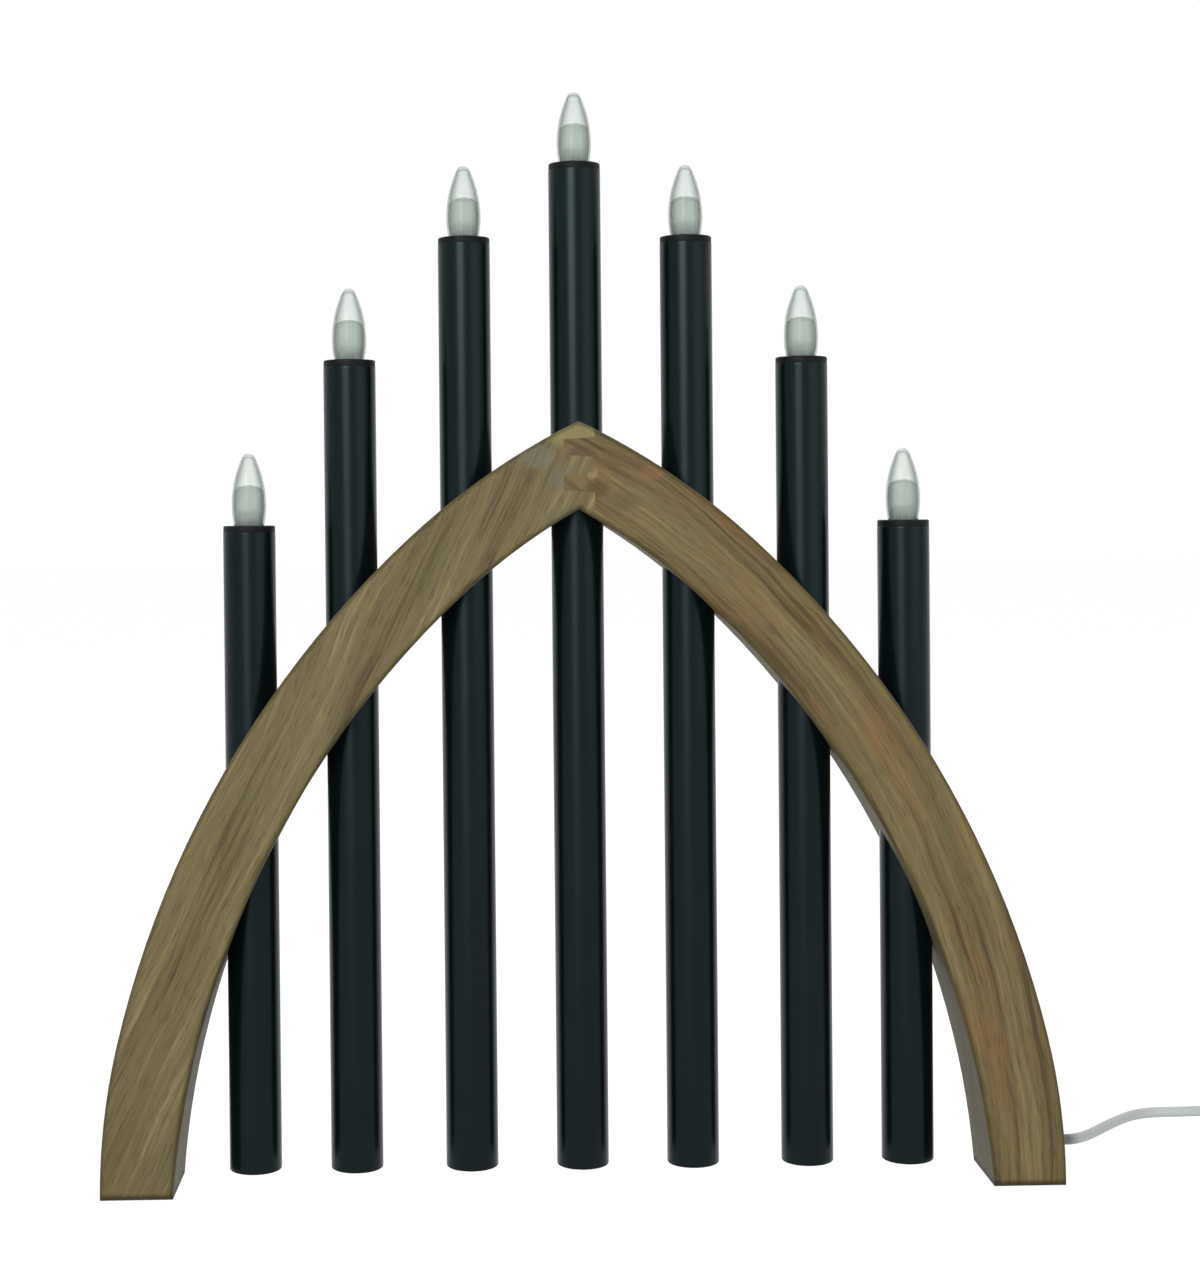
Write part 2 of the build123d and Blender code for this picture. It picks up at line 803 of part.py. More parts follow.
def power_plug(end):
    """The flat two-pin plug beside the coil, on the floor, with the boot that takes the cord."""
    middle = plug_thickness / 2
    body_start = end.Y - boot_length
    face = body_start - plug_body_length

    def section(y, z):
        return Plane(origin=(end.X, y, z), x_dir=(1, 0, 0), z_dir=(0, -1, 0))

    with BuildPart() as plug:
        with BuildSketch(section(end.Y, end.Z)):
            Circle(boot_end_radius)
        with BuildSketch(section(body_start, middle)):
            Circle(boot_radius)
        loft()
        with BuildSketch(section(body_start, middle)):
            RectangleRounded(plug_neck_width, plug_neck_thickness, plug_corner)
        with BuildSketch(section(body_start - plug_shoulder_share * plug_body_length, middle)):
            RectangleRounded(plug_width, plug_thickness, plug_corner)
        loft()
        with BuildSketch(section(body_start - plug_shoulder_share * plug_body_length, middle)):
            RectangleRounded(plug_width, plug_thickness, plug_corner)
        extrude(amount=plug_body_length * (1 - plug_shoulder_share))
        with BuildSketch(section(face, middle)):
            with Locations((-pin_spacing / 2, 0), (pin_spacing / 2, 0)):
                Circle(pin_root_radius + pin_fit)
        extrude(amount=-pin_root, mode=Mode.SUBTRACT)
    plug.part.label = "power_plug"
    export_step(plug.part, "parts/power_plug.step")

    with BuildPart() as pins:
        with BuildSketch(section(face + pin_root, middle)):
            with Locations((-pin_spacing / 2, 0), (pin_spacing / 2, 0)):
                Circle(pin_root_radius)
        extrude(amount=pin_root + pin_root_bare)
        with BuildSketch(section(face - pin_root_bare, middle)):
            with Locations((-pin_spacing / 2, 0), (pin_spacing / 2, 0)):
                Circle(pin_radius)
        extrude(amount=pin_length - pin_root_bare)
        tips = pins.faces().filter_by(Axis.Y).group_by(Axis.Y)[0]
        chamfer(tips.edges(), pin_tip)
    pins.part.label = "plug_pins"
    export_step(pins.part, "parts/plug_pins.step")
    print("plug face centre:", round(end.X, 2), round(face, 2), middle)


arch = whole_arch()
arch_half("arch_left", -1, arch)
arch_half("arch_right", 1, arch)
groove_strip("groove_strip_left", Keep.BOTTOM)
groove_strip("groove_strip_right", Keep.TOP)
for index, (place, tube_top) in enumerate(tubes):
    candle_tube(index + 1, place, tube_top, lead_heights[index], screw_heights[index])
    lamp_holder(index + 1, place, tube_top)
    bulb_lens(index + 1, place, tube_top)
    bulb_led(index + 1, place, tube_top)
    bulb_cap(index + 1, place, tube_top)
    bulb_contact(index + 1, place, tube_top)
tube_end_caps()
holder_floors()
holder_shells()
holder_springs()
tube_leads()
tube_fixing_screws()
arch_wiring()
cord_grip()
lead_length = cord_lead()
coil_path = cord_coil()
power_plug(coil_path @ 1)
free_length = lead_length + coil_path.length - (half_width - cord_end_x)
print("cord from its exit to the plug:", round(free_length, 1))
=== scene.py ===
import math

import bmesh
import bpy
import numpy as np
from mathutils import Matrix, Vector


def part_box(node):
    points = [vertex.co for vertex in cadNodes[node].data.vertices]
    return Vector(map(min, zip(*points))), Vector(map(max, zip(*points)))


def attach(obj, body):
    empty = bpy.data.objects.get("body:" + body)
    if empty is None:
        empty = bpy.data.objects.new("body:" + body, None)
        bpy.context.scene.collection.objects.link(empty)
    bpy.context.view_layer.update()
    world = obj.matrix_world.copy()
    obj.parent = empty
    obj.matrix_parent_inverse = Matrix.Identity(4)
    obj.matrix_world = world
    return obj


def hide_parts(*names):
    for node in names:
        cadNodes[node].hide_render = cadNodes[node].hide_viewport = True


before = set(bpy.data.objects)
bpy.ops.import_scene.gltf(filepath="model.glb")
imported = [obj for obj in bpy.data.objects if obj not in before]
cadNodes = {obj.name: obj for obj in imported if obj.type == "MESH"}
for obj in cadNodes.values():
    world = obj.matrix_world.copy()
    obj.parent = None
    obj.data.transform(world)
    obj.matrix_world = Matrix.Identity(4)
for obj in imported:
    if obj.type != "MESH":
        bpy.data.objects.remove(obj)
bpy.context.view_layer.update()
scene = bpy.context.scene
mm = 0.001
bulbNumbers = range(1, 8)
finishes = {}  # materials by name
print("frame loaded:", len(cadNodes), "nodes")


# camera: the photograph's own perspective, taken as a plain pinhole camera

photoCamera = {
    "imageWidth": 1200,
    "imageHeight": 1277,
    "focalPixels": 2363.6,
    "principalPixel": (530.6, 545.2),
    "place": (-49.1 * mm, -1092.6 * mm, 308.3 * mm),
    "yaw": -0.0251,  # turns are in radians
    "pitch": 0.0126,
    "roll": -0.0093,
    "sensor": 36.0,
    "nearest": 0.01,
    "farthest": 50,
}


def makeCamera(values):
    yaw, pitch, roll = values["yaw"], values["pitch"], values["roll"]
    ahead = Vector(
        (-math.sin(yaw) * math.cos(pitch), math.cos(yaw) * math.cos(pitch), -math.sin(pitch))
    )
    level = Vector((math.cos(yaw), math.sin(yaw), 0))
    upright = level.cross(ahead)
    right = level * math.cos(roll) + upright * math.sin(roll)
    up = upright * math.cos(roll) - level * math.sin(roll)
    longSide = max(values["imageWidth"], values["imageHeight"])
    lens = bpy.data.cameras.new("photoCamera")
    lens.sensor_width = values["sensor"]
    lens.lens = values["focalPixels"] * values["sensor"] / longSide
    lens.shift_x = (values["imageWidth"] / 2 - values["principalPixel"][0]) / longSide
    lens.shift_y = (values["principalPixel"][1] - values["imageHeight"] / 2) / longSide
    lens.clip_start = values["nearest"]
    lens.clip_end = values["farthest"]
    camera = bpy.data.objects.new("photoCamera", lens)
    turned = Matrix((right, up, -ahead)).transposed().to_4x4()
    camera.matrix_world = Matrix.Translation(Vector(values["place"])) @ turned
    scene.collection.objects.link(camera)
    scene.camera = camera


makeCamera(photoCamera)
scene.view_settings.view_transform = "Standard"
print("camera placed")


# surfaces: grids of points worked out as whole arrays

weldDistance = 1e-7


def gridMesh(name, grids, sharpDegrees, closed):
    # each grid is rows by columns by 3, its neighbours joined by quads; columns wrap, and rows too if closed
    corners, faces, start = [], [], 0
    for points in grids:
        rows, columns = points.shape[:2]
        row = np.arange(rows if closed else rows - 1)[:, None]
        column = np.arange(columns)[None, :]
        nextRow, nextColumn = (row + 1) % rows, (column + 1) % columns
        quads = [row * columns + column, row * columns + nextColumn]
        quads += [nextRow * columns + nextColumn, nextRow * columns + column]
        faces.append(np.stack(quads, -1).reshape(-1, 4) + start)
        corners.append(points.reshape(-1, 3))
        start += rows * columns
    mesh = bpy.data.meshes.new(name)
    mesh.from_pydata(np.concatenate(corners).tolist(), [], np.concatenate(faces).tolist())
    welded = bmesh.new()
    welded.from_mesh(mesh)
    bmesh.ops.remove_doubles(welded, verts=welded.verts, dist=weldDistance)
    bmesh.ops.recalc_face_normals(welded, faces=welded.faces)
    welded.to_mesh(mesh)
    welded.free()
    mesh.polygons.foreach_set("use_smooth", np.ones(len(mesh.polygons), bool))
    mesh.set_sharp_from_angle(angle=math.radians(sharpDegrees))
    return mesh


def addPiece(name, grids, finish, body, slot, replaced=(), sharpDegrees=35, closed=False):
    mesh = gridMesh(name, grids, sharpDegrees, closed)
    mesh.materials.append(finishes[finish])
    piece = bpy.data.objects.new(name, mesh)
    scene.collection.objects.link(piece)
    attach(piece, body)
    if replaced:
        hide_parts(*replaced)
    return piece


def roundedLine(corners, steps=5, closed=False):
    # corners are (across, up, rounding) in millimetres; each is swapped for an arc tangent to its two sides
    corners = np.array(corners, float)
    points = []
    for index, (x, z, radius) in enumerate(corners):
        here = np.array((x, z))
        atEnd = not closed and index in (0, len(corners) - 1)
        if radius == 0 or atEnd:
            points.append(here[None, :])
            continue
        before = corners[index - 1, :2] - here
        after = corners[(index + 1) % len(corners), :2] - here
        before, after = before / np.linalg.norm(before), after / np.linalg.norm(after)
        halfAngle = math.acos(np.clip(before @ after, -1, 1)) / 2
        middle = (before + after) / np.linalg.norm(before + after)
        centre = here + middle * radius / math.sin(halfAngle)
        first = here + before * radius / math.tan(halfAngle) - centre
        last = here + after * radius / math.tan(halfAngle) - centre
        turn = math.atan2(first[0] * last[1] - first[1] * last[0], first @ last)
        angle = np.linspace(0, turn, steps)[:, None]
        square = np.array((-first[1], first[0]))
        points.append(centre + (np.cos(angle) * first + np.sin(angle) * square))
    return np.concatenate(points)


def rodLine(radius, low, high, rounding):
    return roundedLine([(0, low, 0), (radius, low, 0), (radius, high, rounding), (0, high, 0)])


def wholeTurn(count):
    return np.linspace(0, 2 * np.pi, count, endpoint=False)[None, :]


def turnedGrid(profile, x, z, around=96):
    # each (radius, height) of the profile goes once round the upright axis at x; heights count from z
    angle = wholeTurn(around)
    radius, height = profile[:, 0:1] * mm, profile[:, 1:2] * mm
    return np.stack([x + radius * np.cos(angle), radius * np.sin(angle), z + height + 0 * angle], -1)


def threadGrid(x, z, radius, top, bottom, values, around=72, rows=90):
    # radius plus a rounded wave, its phase height over pitch less angle over a turn, faded at both ends
    angle = wholeTurn(around)
    height = np.linspace(top, bottom, rows)[:, None]
    phase = 2 * np.pi * (height / values["pitch"]) - angle
    fromEnd = np.minimum(top - height, height - bottom)
    fade = np.clip(fromEnd / values["fade"], 0, 1)
    wave = values["depth"] / 2 * np.sin(phase) * fade * fade * (3 - 2 * fade)
    reach = (radius + wave) * mm
    return np.stack([x + reach * np.cos(angle), reach * np.sin(angle), z + height * mm + 0 * angle], -1)


# node helpers: a source is another socket, or a fixed number, vector or colour


def addNode(tree, kind, **settings):
    node = tree.nodes.new(kind)
    for key, value in settings.items():
        setattr(node, key, value)
    return node


def feed(tree, node, socket, source):
    if isinstance(source, bpy.types.NodeSocket):
        tree.links.new(source, node.inputs[socket])
    else:
        node.inputs[socket].default_value = source


def fedNode(tree, kind, *sources, **settings):
    # the sources go to the node's sockets in order
    node = addNode(tree, kind, **settings)
    for socket, source in enumerate(sources):
        feed(tree, node, socket, source)
    return node.outputs


def mathNode(tree, operation, *sources):
    return fedNode(tree, "ShaderNodeMath", *sources, operation=operation)[0]


def vectorNode(tree, operation, *sources):
    return fedNode(tree, "ShaderNodeVectorMath", *sources, operation=operation)


def splitNode(tree, vector):
    return fedNode(tree, "ShaderNodeSeparateXYZ", vector)


def joinNode(tree, x, y, z):
    return fedNode(tree, "ShaderNodeCombineXYZ", x, y, z)[0]


def rangeNode(tree, value, low, high, newLow=0.0, newHigh=1.0):
    return fedNode(tree, "ShaderNodeMapRange", value, low, high, newLow, newHigh, clamp=True)[0]


def stretchNode(tree, vector, scale, turn=(0, 0, 0)):
    node = addNode(tree, "ShaderNodeMapping")
    feed(tree, node, "Vector", vector)
    feed(tree, node, "Scale", scale)
    feed(tree, node, "Rotation", turn)
    return node.outputs[0]


def noiseNode(tree, vector, scale, detail, roughness=0.55):
    node = addNode(tree, "ShaderNodeTexNoise")
    feed(tree, node, "Vector", vector)
    feed(tree, node, "Scale", scale)
    feed(tree, node, "Detail", detail)
    feed(tree, node, "Roughness", roughness)
    return node.outputs["Fac"]


def mixColour(tree, factor, first, second, blend="MIX"):
    node = addNode(tree, "ShaderNodeMix", data_type="RGBA", blend_type=blend)
    for socket, source in ((0, factor), (6, first), (7, second)):
        feed(tree, node, socket, source)
    return node.outputs[2]


def bumpNode(tree, height, distance):
    node = addNode(tree, "ShaderNodeBump")
    feed(tree, node, "Distance", distance)
    feed(tree, node, "Height", height)
    return node.outputs["Normal"]


def objectPosition(tree):
    return addNode(tree, "ShaderNodeTexCoord").outputs["Object"]


def surfaceNormal(tree):
    return addNode(tree, "ShaderNodeNewGeometry").outputs["Normal"]


def srgb(red, green, blue):
    # a screen colour of 0 to 255 as the linear colour that shaders use
    share = np.array([red, green, blue]) / 255
    linear = np.where(share <= 0.04045, share / 12.92, ((share + 0.055) / 1.055) ** 2.4)
    return (*linear.tolist(), 1.0)


def newGroup(name, inputs, outputs):
    group = bpy.data.node_groups.new(name, "ShaderNodeTree")
    for label, kind, *value in inputs:
        socket = group.interface.new_socket(label, in_out="INPUT", socket_type="NodeSocket" + kind)
        if value:
            socket.default_value = value[0]
    for label, kind in outputs:
        group.interface.new_socket(label, in_out="OUTPUT", socket_type="NodeSocket" + kind)
    return group, addNode(group, "NodeGroupInput").outputs, addNode(group, "NodeGroupOutput")


def placeGroup(tree, group, **sources):
    node = addNode(tree, "ShaderNodeGroup", node_tree=group)
    for label, source in sources.items():
        feed(tree, node, label.replace("_", " "), source)
    return node.outputs


def newMaterial(name, **settings):
    material = finishes[name] = bpy.data.materials.new(name)
    material.use_nodes = True
    tree = material.node_tree
    shader = tree.nodes["Principled BSDF"]
    for label, value in settings.items():
        feed(tree, shader, label.replace("_", " "), value)
    return tree, shader


# groups that several finishes share

woodGrain = {
    # each noise has its turns in a metre along the grain, across it and into the board, detail and roughness
    "waver": ((9, 22, 22), 2.0, 0.55),
    "waverReach": 0.012,
    "streaks": [((3, 42, 30), 2.0, 0.6), ((5, 130, 60), 2.5, 0.6), ((9, 360, 160), 3.0, 0.6)],
    "streakWeights": [0.7, 1.0, 1.1],
    "darkLevels": (0.45, 0.1),
    "paleLevels": (0.55, 0.95),
    "fibres": ((26, 900, 900), 3.0, 0.65),
    "fibreHeight": 0.5,
    "fibreLevels": (0.3, 0.7),
    "roughness": (0.5, 0.66),
    "pores": ((90, 2400, 2400), 1.0, 0.5),
    "poreLevels": (0.6, 0.72),
    "poreColour": srgb(52, 43, 30),
    "poreShare": 0.5,
    "poreDrop": 0.8,
    "warmClouds": ((20, 75, 40), 3.0, 0.5),
    "warmShare": 0.42,
    "greenClouds": ((22, 48, 60), 3.0, 0.5),
    "greenShare": 0.45,
    "greenColour": srgb(100, 97, 64),
    "cloudLevels": (0.5, 0.72),
}


def makeWoodFigure(values):
    # position is along the grain, across it and into the board, in metres
    group, given, result = newGroup(
        "woodFigure",
        [
            ("Position", "Vector"),
            ("Dark", "Color", srgb(82, 71, 48)),
            ("Middle", "Color", srgb(113, 101, 69)),
            ("Pale", "Color", srgb(138, 129, 88)),
            ("Tint", "Color", srgb(126, 98, 64)),
            ("Streak Contrast", "Float", 1.0),
        ],
        [("Color", "Color"), ("Height", "Float"), ("Roughness", "Float")],
    )

    def drawnNoise(vector, stretch, detail, roughness):
        return noiseNode(group, stretchNode(group, vector, stretch), 1.0, detail, roughness)

    waver = mathNode(group, "SUBTRACT", drawnNoise(given["Position"], *values["waver"]), 0.5)
    aside = joinNode(group, 0.0, waver, 0.0)
    grain = vectorNode(group, "MULTIPLY_ADD", aside, (0.0, values["waverReach"], 0.0), given["Position"])[0]
    level = 0.5
    for noise, weight in zip(values["streaks"], values["streakWeights"]):
        streak = mathNode(group, "SUBTRACT", drawnNoise(grain, *noise), 0.5)
        streak = mathNode(group, "MULTIPLY", streak, weight)
        streak = mathNode(group, "MULTIPLY", streak, given["Streak Contrast"])
        level = mathNode(group, "ADD", level, streak)
    fibres = drawnNoise(grain, *values["fibres"])
    level = mathNode(group, "ADD", level, mathNode(group, "SUBTRACT", fibres, 0.5))
    dark = rangeNode(group, level, *values["darkLevels"])
    colour = mixColour(group, dark, given["Middle"], given["Dark"])
    colour = mixColour(group, rangeNode(group, level, *values["paleLevels"]), colour, given["Pale"])
    for kind, tint in (("warm", given["Tint"]), ("green", values["greenColour"])):
        cloud = rangeNode(group, drawnNoise(grain, *values[kind + "Clouds"]), *values["cloudLevels"])
        colour = mixColour(group, mathNode(group, "MULTIPLY", cloud, values[kind + "Share"]), colour, tint)
    pores = rangeNode(group, drawnNoise(grain, *values["pores"]), *values["poreLevels"])
    poreShare = mathNode(group, "MULTIPLY", pores, values["poreShare"])
    height = mathNode(group, "MULTIPLY", fibres, values["fibreHeight"])
    height = mathNode(group, "SUBTRACT", height, mathNode(group, "MULTIPLY", pores, values["poreDrop"]))
    feed(group, result, "Color", mixColour(group, poreShare, colour, values["poreColour"]))
    feed(group, result, "Height", height)
    feed(group, result, "Roughness", rangeNode(group, fibres, *values["fibreLevels"], *values["roughness"]))
    return group


skinGrain = {
    "patchDetail": 3.0,
    "patchLevels": (0.35, 0.7),
    "fineDetail": 2.0,
    "dustLean": (0.5, 1.0),  # how far up a face has to look before dust settles on it
    "dustColour": srgb(168, 164, 154),
}


def makeMottle(values):
    # soft unevenness of a moulded or painted skin, with a little settled dust on what faces up
    group, given, result = newGroup(
        "skinMottle",
        [
            *[("Position", "Vector"), ("Base", "Color"), ("Shift", "Color")],
            *[(label, "Float") for label in ("Patch Scale", "Fine Scale", "Rough Low", "Rough High", "Dust")],
        ],
        [("Color", "Color"), ("Height", "Float"), ("Roughness", "Float")],
    )
    patches = noiseNode(group, given["Position"], given["Patch Scale"], values["patchDetail"])
    fine = noiseNode(group, given["Position"], given["Fine Scale"], values["fineDetail"])
    shifted = rangeNode(group, patches, *values["patchLevels"])
    colour = mixColour(group, shifted, given["Base"], given["Shift"])
    facingUp = rangeNode(group, splitNode(group, surfaceNormal(group))["Z"], *values["dustLean"])
    settled = mathNode(group, "MULTIPLY", facingUp, fine)
    dusty = mathNode(group, "MULTIPLY", settled, given["Dust"])
    spread = mathNode(group, "SUBTRACT", given["Rough High"], given["Rough Low"])
    roughness = mathNode(group, "MULTIPLY_ADD", patches, spread, given["Rough Low"])
    feed(group, result, "Color", mixColour(group, dusty, colour, values["dustColour"]))
    feed(group, result, "Height", fine)
    feed(group, result, "Roughness", roughness)
    return group


woodFigure = makeWoodFigure(woodGrain)
skinMottle = makeMottle(skinGrain)


# oiled wood of the arch: the left board is straight-grained, the right one's grain bends with the arch

woodLook = {
    "leftGrainDegrees": 64,
    "rightCentre": (-0.20, 0.0),  # middle of the right board's curved grain, in X and Z
    "rightRadius": 0.42,  # here the curved grain is as long as it is round its middle
    "specular": 0.15,
    "poreDepth": 0.00012,
    # each of these ranges is of how far a face looks away from the front or the back
    # painted shade on the rounded edges between the front and the sides
    "edgeShadeFrom": (0.02, 0.25),
    "edgeShadeUpTo": (0.98, 0.7),
    "edgeShadeFactor": (0.66, 0.66, 0.64, 1.0),
    # painted light: faces that look sideways, up or down are mixed towards a greyer colour
    "sideLightFrom": (0.7, 0.98),
    "sideLightColour": srgb(100, 98, 84),
    "sideLightShare": 0.6,
    # painted contact shadow: the feet are darker towards the floor
    "footShadowHeights": (0.004, 0.002),
    "footShade": (0.45, 0.41, 0.37, 1.0),
    "markCover": 0.8,
    "markCore": 0.55,  # share of a mark's size inside which it is whole
    # stains at the crown, and one painted highlight on the left board's upper edge: middle in X and Z, half
    # sizes, colour and strength
    "leftStainsAndHighlight": [
        ((-0.001, 0.344), (0.015, 0.008), srgb(140, 134, 88), 0.85),
        # painted highlight: greyish light on the left board's upper edge
        ((-0.019, 0.335), (0.010, 0.007), srgb(120, 120, 106), 0.6),
        ((-0.006, 0.325), (0.010, 0.008), srgb(108, 105, 88), 0.75),
        ((-0.008, 0.306), (0.012, 0.007), srgb(104, 101, 82), 0.6),
    ],
    "rightStains": [
        ((0.001, 0.3355), (0.008, 0.005), srgb(88, 73, 58), 0.9),
        ((0.006, 0.327), (0.003, 0.003), srgb(148, 142, 102), 0.7),
        ((0.008, 0.320), (0.007, 0.005), srgb(82, 70, 40), 0.85),
        ((0.018, 0.314), (0.011, 0.006), srgb(94, 84, 62), 0.7),
        ((0.018, 0.334), (0.016, 0.006), srgb(106, 86, 58), 0.6),
        ((0.033, 0.327), (0.007, 0.004), srgb(140, 98, 66), 0.6),
    ],
}


def straightGrain(tree, degrees):
    turned = stretchNode(tree, objectPosition(tree), (1, 1, 1), (0, math.radians(degrees), 0))
    parts = splitNode(tree, turned)
    return joinNode(tree, parts["X"], parts["Z"], parts["Y"])


def curvedGrain(tree, values, side):
    # along is the angle round the centre times a fixed radius, across is the distance from the centre
    parts = splitNode(tree, objectPosition(tree))
    x = mathNode(tree, "MULTIPLY", parts["X"], side)
    x = mathNode(tree, "SUBTRACT", x, values["rightCentre"][0])
    z = mathNode(tree, "SUBTRACT", parts["Z"], values["rightCentre"][1])
    squares = mathNode(tree, "ADD", mathNode(tree, "MULTIPLY", x, x), mathNode(tree, "MULTIPLY", z, z))
    angle = mathNode(tree, "ARCTAN2", z, x)
    along = mathNode(tree, "MULTIPLY", angle, values["rightRadius"])
    return joinNode(tree, along, mathNode(tree, "SQRT", squares), parts["Y"])


def markMask(tree, centre, size, core):
    # 1 in the middle of an ellipse in X and Z, 0 from its edge outwards
    moved = stretchNode(tree, objectPosition(tree), (1 / size[0], 0.0, 1 / size[1]))
    offset = vectorNode(tree, "SUBTRACT", moved, (centre[0] / size[0], 0.0, centre[1] / size[1]))[0]
    return rangeNode(tree, vectorNode(tree, "LENGTH", offset)["Value"], 1.0, core)


def makeWood(name, values, grain, marks=(), **colours):
    tree, shader = newMaterial(name, Specular_IOR_Level=values["specular"])
    figure = placeGroup(tree, woodFigure, Position=grain(tree), **colours)
    colour = figure["Color"]
    for centre, size, markColour, strength in marks:
        share = mathNode(tree, "MULTIPLY", markMask(tree, centre, size, values["markCore"]), strength)
        colour = mixColour(tree, share, colour, mixColour(tree, values["markCover"], colour, markColour))
    # 0 where a face looks straight forwards or backwards, 1 where it looks sideways, up or down
    forwards = mathNode(tree, "ABSOLUTE", splitNode(tree, surfaceNormal(tree))["Y"])
    lean = mathNode(tree, "SUBTRACT", 1.0, forwards)
    # painted shade: faces leaning partly away from the front, the rounded edges, are darkened
    leaving = rangeNode(tree, lean, *values["edgeShadeFrom"])
    arriving = rangeNode(tree, lean, *values["edgeShadeUpTo"])
    edgeShade = mathNode(tree, "MULTIPLY", leaving, arriving)
    colour = mixColour(tree, edgeShade, colour, values["edgeShadeFactor"], "MULTIPLY")
    # painted light: the sides, top and bottom turn greyer
    sideLight = mathNode(tree, "MULTIPLY", rangeNode(tree, lean, *values["sideLightFrom"]), values["sideLightShare"])
    colour = mixColour(tree, sideLight, colour, values["sideLightColour"])
    # painted shadow where the feet stand on the floor, darker towards the bottom
    foot = rangeNode(tree, splitNode(tree, objectPosition(tree))["Z"], *values["footShadowHeights"])
    feed(tree, shader, "Base Color", mixColour(tree, foot, colour, values["footShade"], "MULTIPLY"))
    feed(tree, shader, "Roughness", figure["Roughness"])
    feed(tree, shader, "Normal", bumpNode(tree, figure["Height"], values["poreDepth"]))


makeWood(
    "oiledWoodLeft",
    woodLook,
    lambda tree: straightGrain(tree, woodLook["leftGrainDegrees"]),
    woodLook["leftStainsAndHighlight"],
    Tint=srgb(116, 101, 69),
    Streak_Contrast=1.1,
)
makeWood(
    "oiledWoodRight",
    woodLook,
    lambda tree: curvedGrain(tree, woodLook, 1),
    woodLook["rightStains"],
    Dark=srgb(82, 69, 46),
    Middle=srgb(112, 99, 65),
    Pale=srgb(134, 122, 82),
    Tint=srgb(136, 96, 56),
    Streak_Contrast=1.25,
)
makeWood("stripWoodLeft", woodLook, lambda tree: curvedGrain(tree, woodLook, -1))
makeWood("stripWoodRight", woodLook, lambda tree: curvedGrain(tree, woodLook, 1))


# painted, moulded and plated finishes

skinLooks = {
    # skinMottle's sockets from Base to Dust, and the fine spots' depth in metres
    "tubePaint": (srgb(3, 11, 13), srgb(5, 14, 16), 35.0, 2600.0, 0.23, 0.29, 0.08, 0.00001),
    "holderPlastic": (srgb(9, 12, 13), srgb(13, 17, 18), 120.0, 1800.0, 0.42, 0.55, 0.12, 0.00003),
    "endCapPlastic": (srgb(12, 15, 16), srgb(18, 21, 22), 120.0, 1800.0, 0.45, 0.6, 0.1, 0.00003),
    "cordSheath": (srgb(198, 204, 204), srgb(206, 211, 210), 40.0, 1500.0, 0.4, 0.5, 0.15, 0.00003),
    "plugPlastic": (srgb(200, 205, 204), srgb(207, 211, 209), 50.0, 2200.0, 0.38, 0.5, 0.15, 0.00003),
    "leadSheath": (srgb(176, 180, 178), srgb(190, 193, 190), 90.0, 1800.0, 0.4, 0.55, 0.1, 0.00003),
    "pinSleeve": (srgb(188, 193, 192), srgb(196, 200, 199), 90.0, 1800.0, 0.35, 0.45, 0.05, 0.00002),
    "insulatorBlack": (srgb(24, 24, 26), srgb(32, 32, 34), 200.0, 1800.0, 0.3, 0.45, 0.0, 0.00002),
    "ledDark": (srgb(30, 35, 34), srgb(40, 46, 44), 300.0, 1800.0, 0.2, 0.35, 0.0, 0.00001),
    "boardWhite": (srgb(206, 210, 204), srgb(214, 216, 210), 200.0, 1800.0, 0.4, 0.5, 0.0, 0.00002),
    "capNickel": (srgb(196, 194, 188), srgb(182, 178, 168), 220.0, 3200.0, 0.22, 0.36, 0.05, 0.00001),
    "shellBrass": (srgb(206, 178, 116), srgb(190, 160, 100), 220.0, 3200.0, 0.25, 0.4, 0.05, 0.00001),
    "contactSolder": (srgb(186, 186, 184), srgb(170, 168, 162), 220.0, 3200.0, 0.3, 0.5, 0.05, 0.00001),
    "screwZinc": (srgb(178, 180, 178), srgb(160, 160, 152), 220.0, 3200.0, 0.25, 0.42, 0.05, 0.00001),
    "pinNickel": (srgb(204, 202, 196), srgb(194, 190, 182), 220.0, 3200.0, 0.16, 0.28, 0.05, 0.00001),
}
shaderSettings = {
    "tubePaint": {"Specular_IOR_Level": 0.17, "Specular_Tint": (0.74, 0.95, 1.0, 1.0)},
    "holderPlastic": {"Specular_IOR_Level": 0.12},
    "endCapPlastic": {"Specular_IOR_Level": 0.12},
    "cordSheath": {"Subsurface_Weight": 0.05, "Subsurface_Scale": 0.002},
}
for name in ("capNickel", "shellBrass", "contactSolder", "screwZinc", "pinNickel"):
    shaderSettings[name] = {"Metallic": 1.0}


def makeSkin(name, sources, depth):
    tree, shader = newMaterial(name, **shaderSettings.get(name, {}))
    skin = fedNode(tree, "ShaderNodeGroup", objectPosition(tree), *sources, node_tree=skinMottle)
    feed(tree, shader, "Base Color", skin["Color"])
    feed(tree, shader, "Roughness", skin["Roughness"])
    feed(tree, shader, "Normal", bumpNode(tree, skin["Height"], depth))


for name, (*sources, depth) in skinLooks.items():
    makeSkin(name, sources, depth)

# painted shade on the cord next to the wood
cordExitShade = {"reach": (0.2330, 0.2400), "colour": srgb(84, 88, 86), "share": 0.85}


def shadeCordEnd(material, values):
    # painted shade: the sheath is darker where it comes out of the wood, as if in the wood's shadow; reach is
    # in X
    tree = material.node_tree
    shader = tree.nodes["Principled BSDF"]
    unshaded = shader.inputs["Base Color"].links[0].from_socket
    x = splitNode(tree, objectPosition(tree))["X"]
    shaded = rangeNode(tree, x, values["reach"][1], values["reach"][0], 0.0, values["share"])
    feed(tree, shader, "Base Color", mixColour(tree, shaded, unshaded, values["colour"]))


shadeCordEnd(finishes["cordSheath"], cordExitShade)

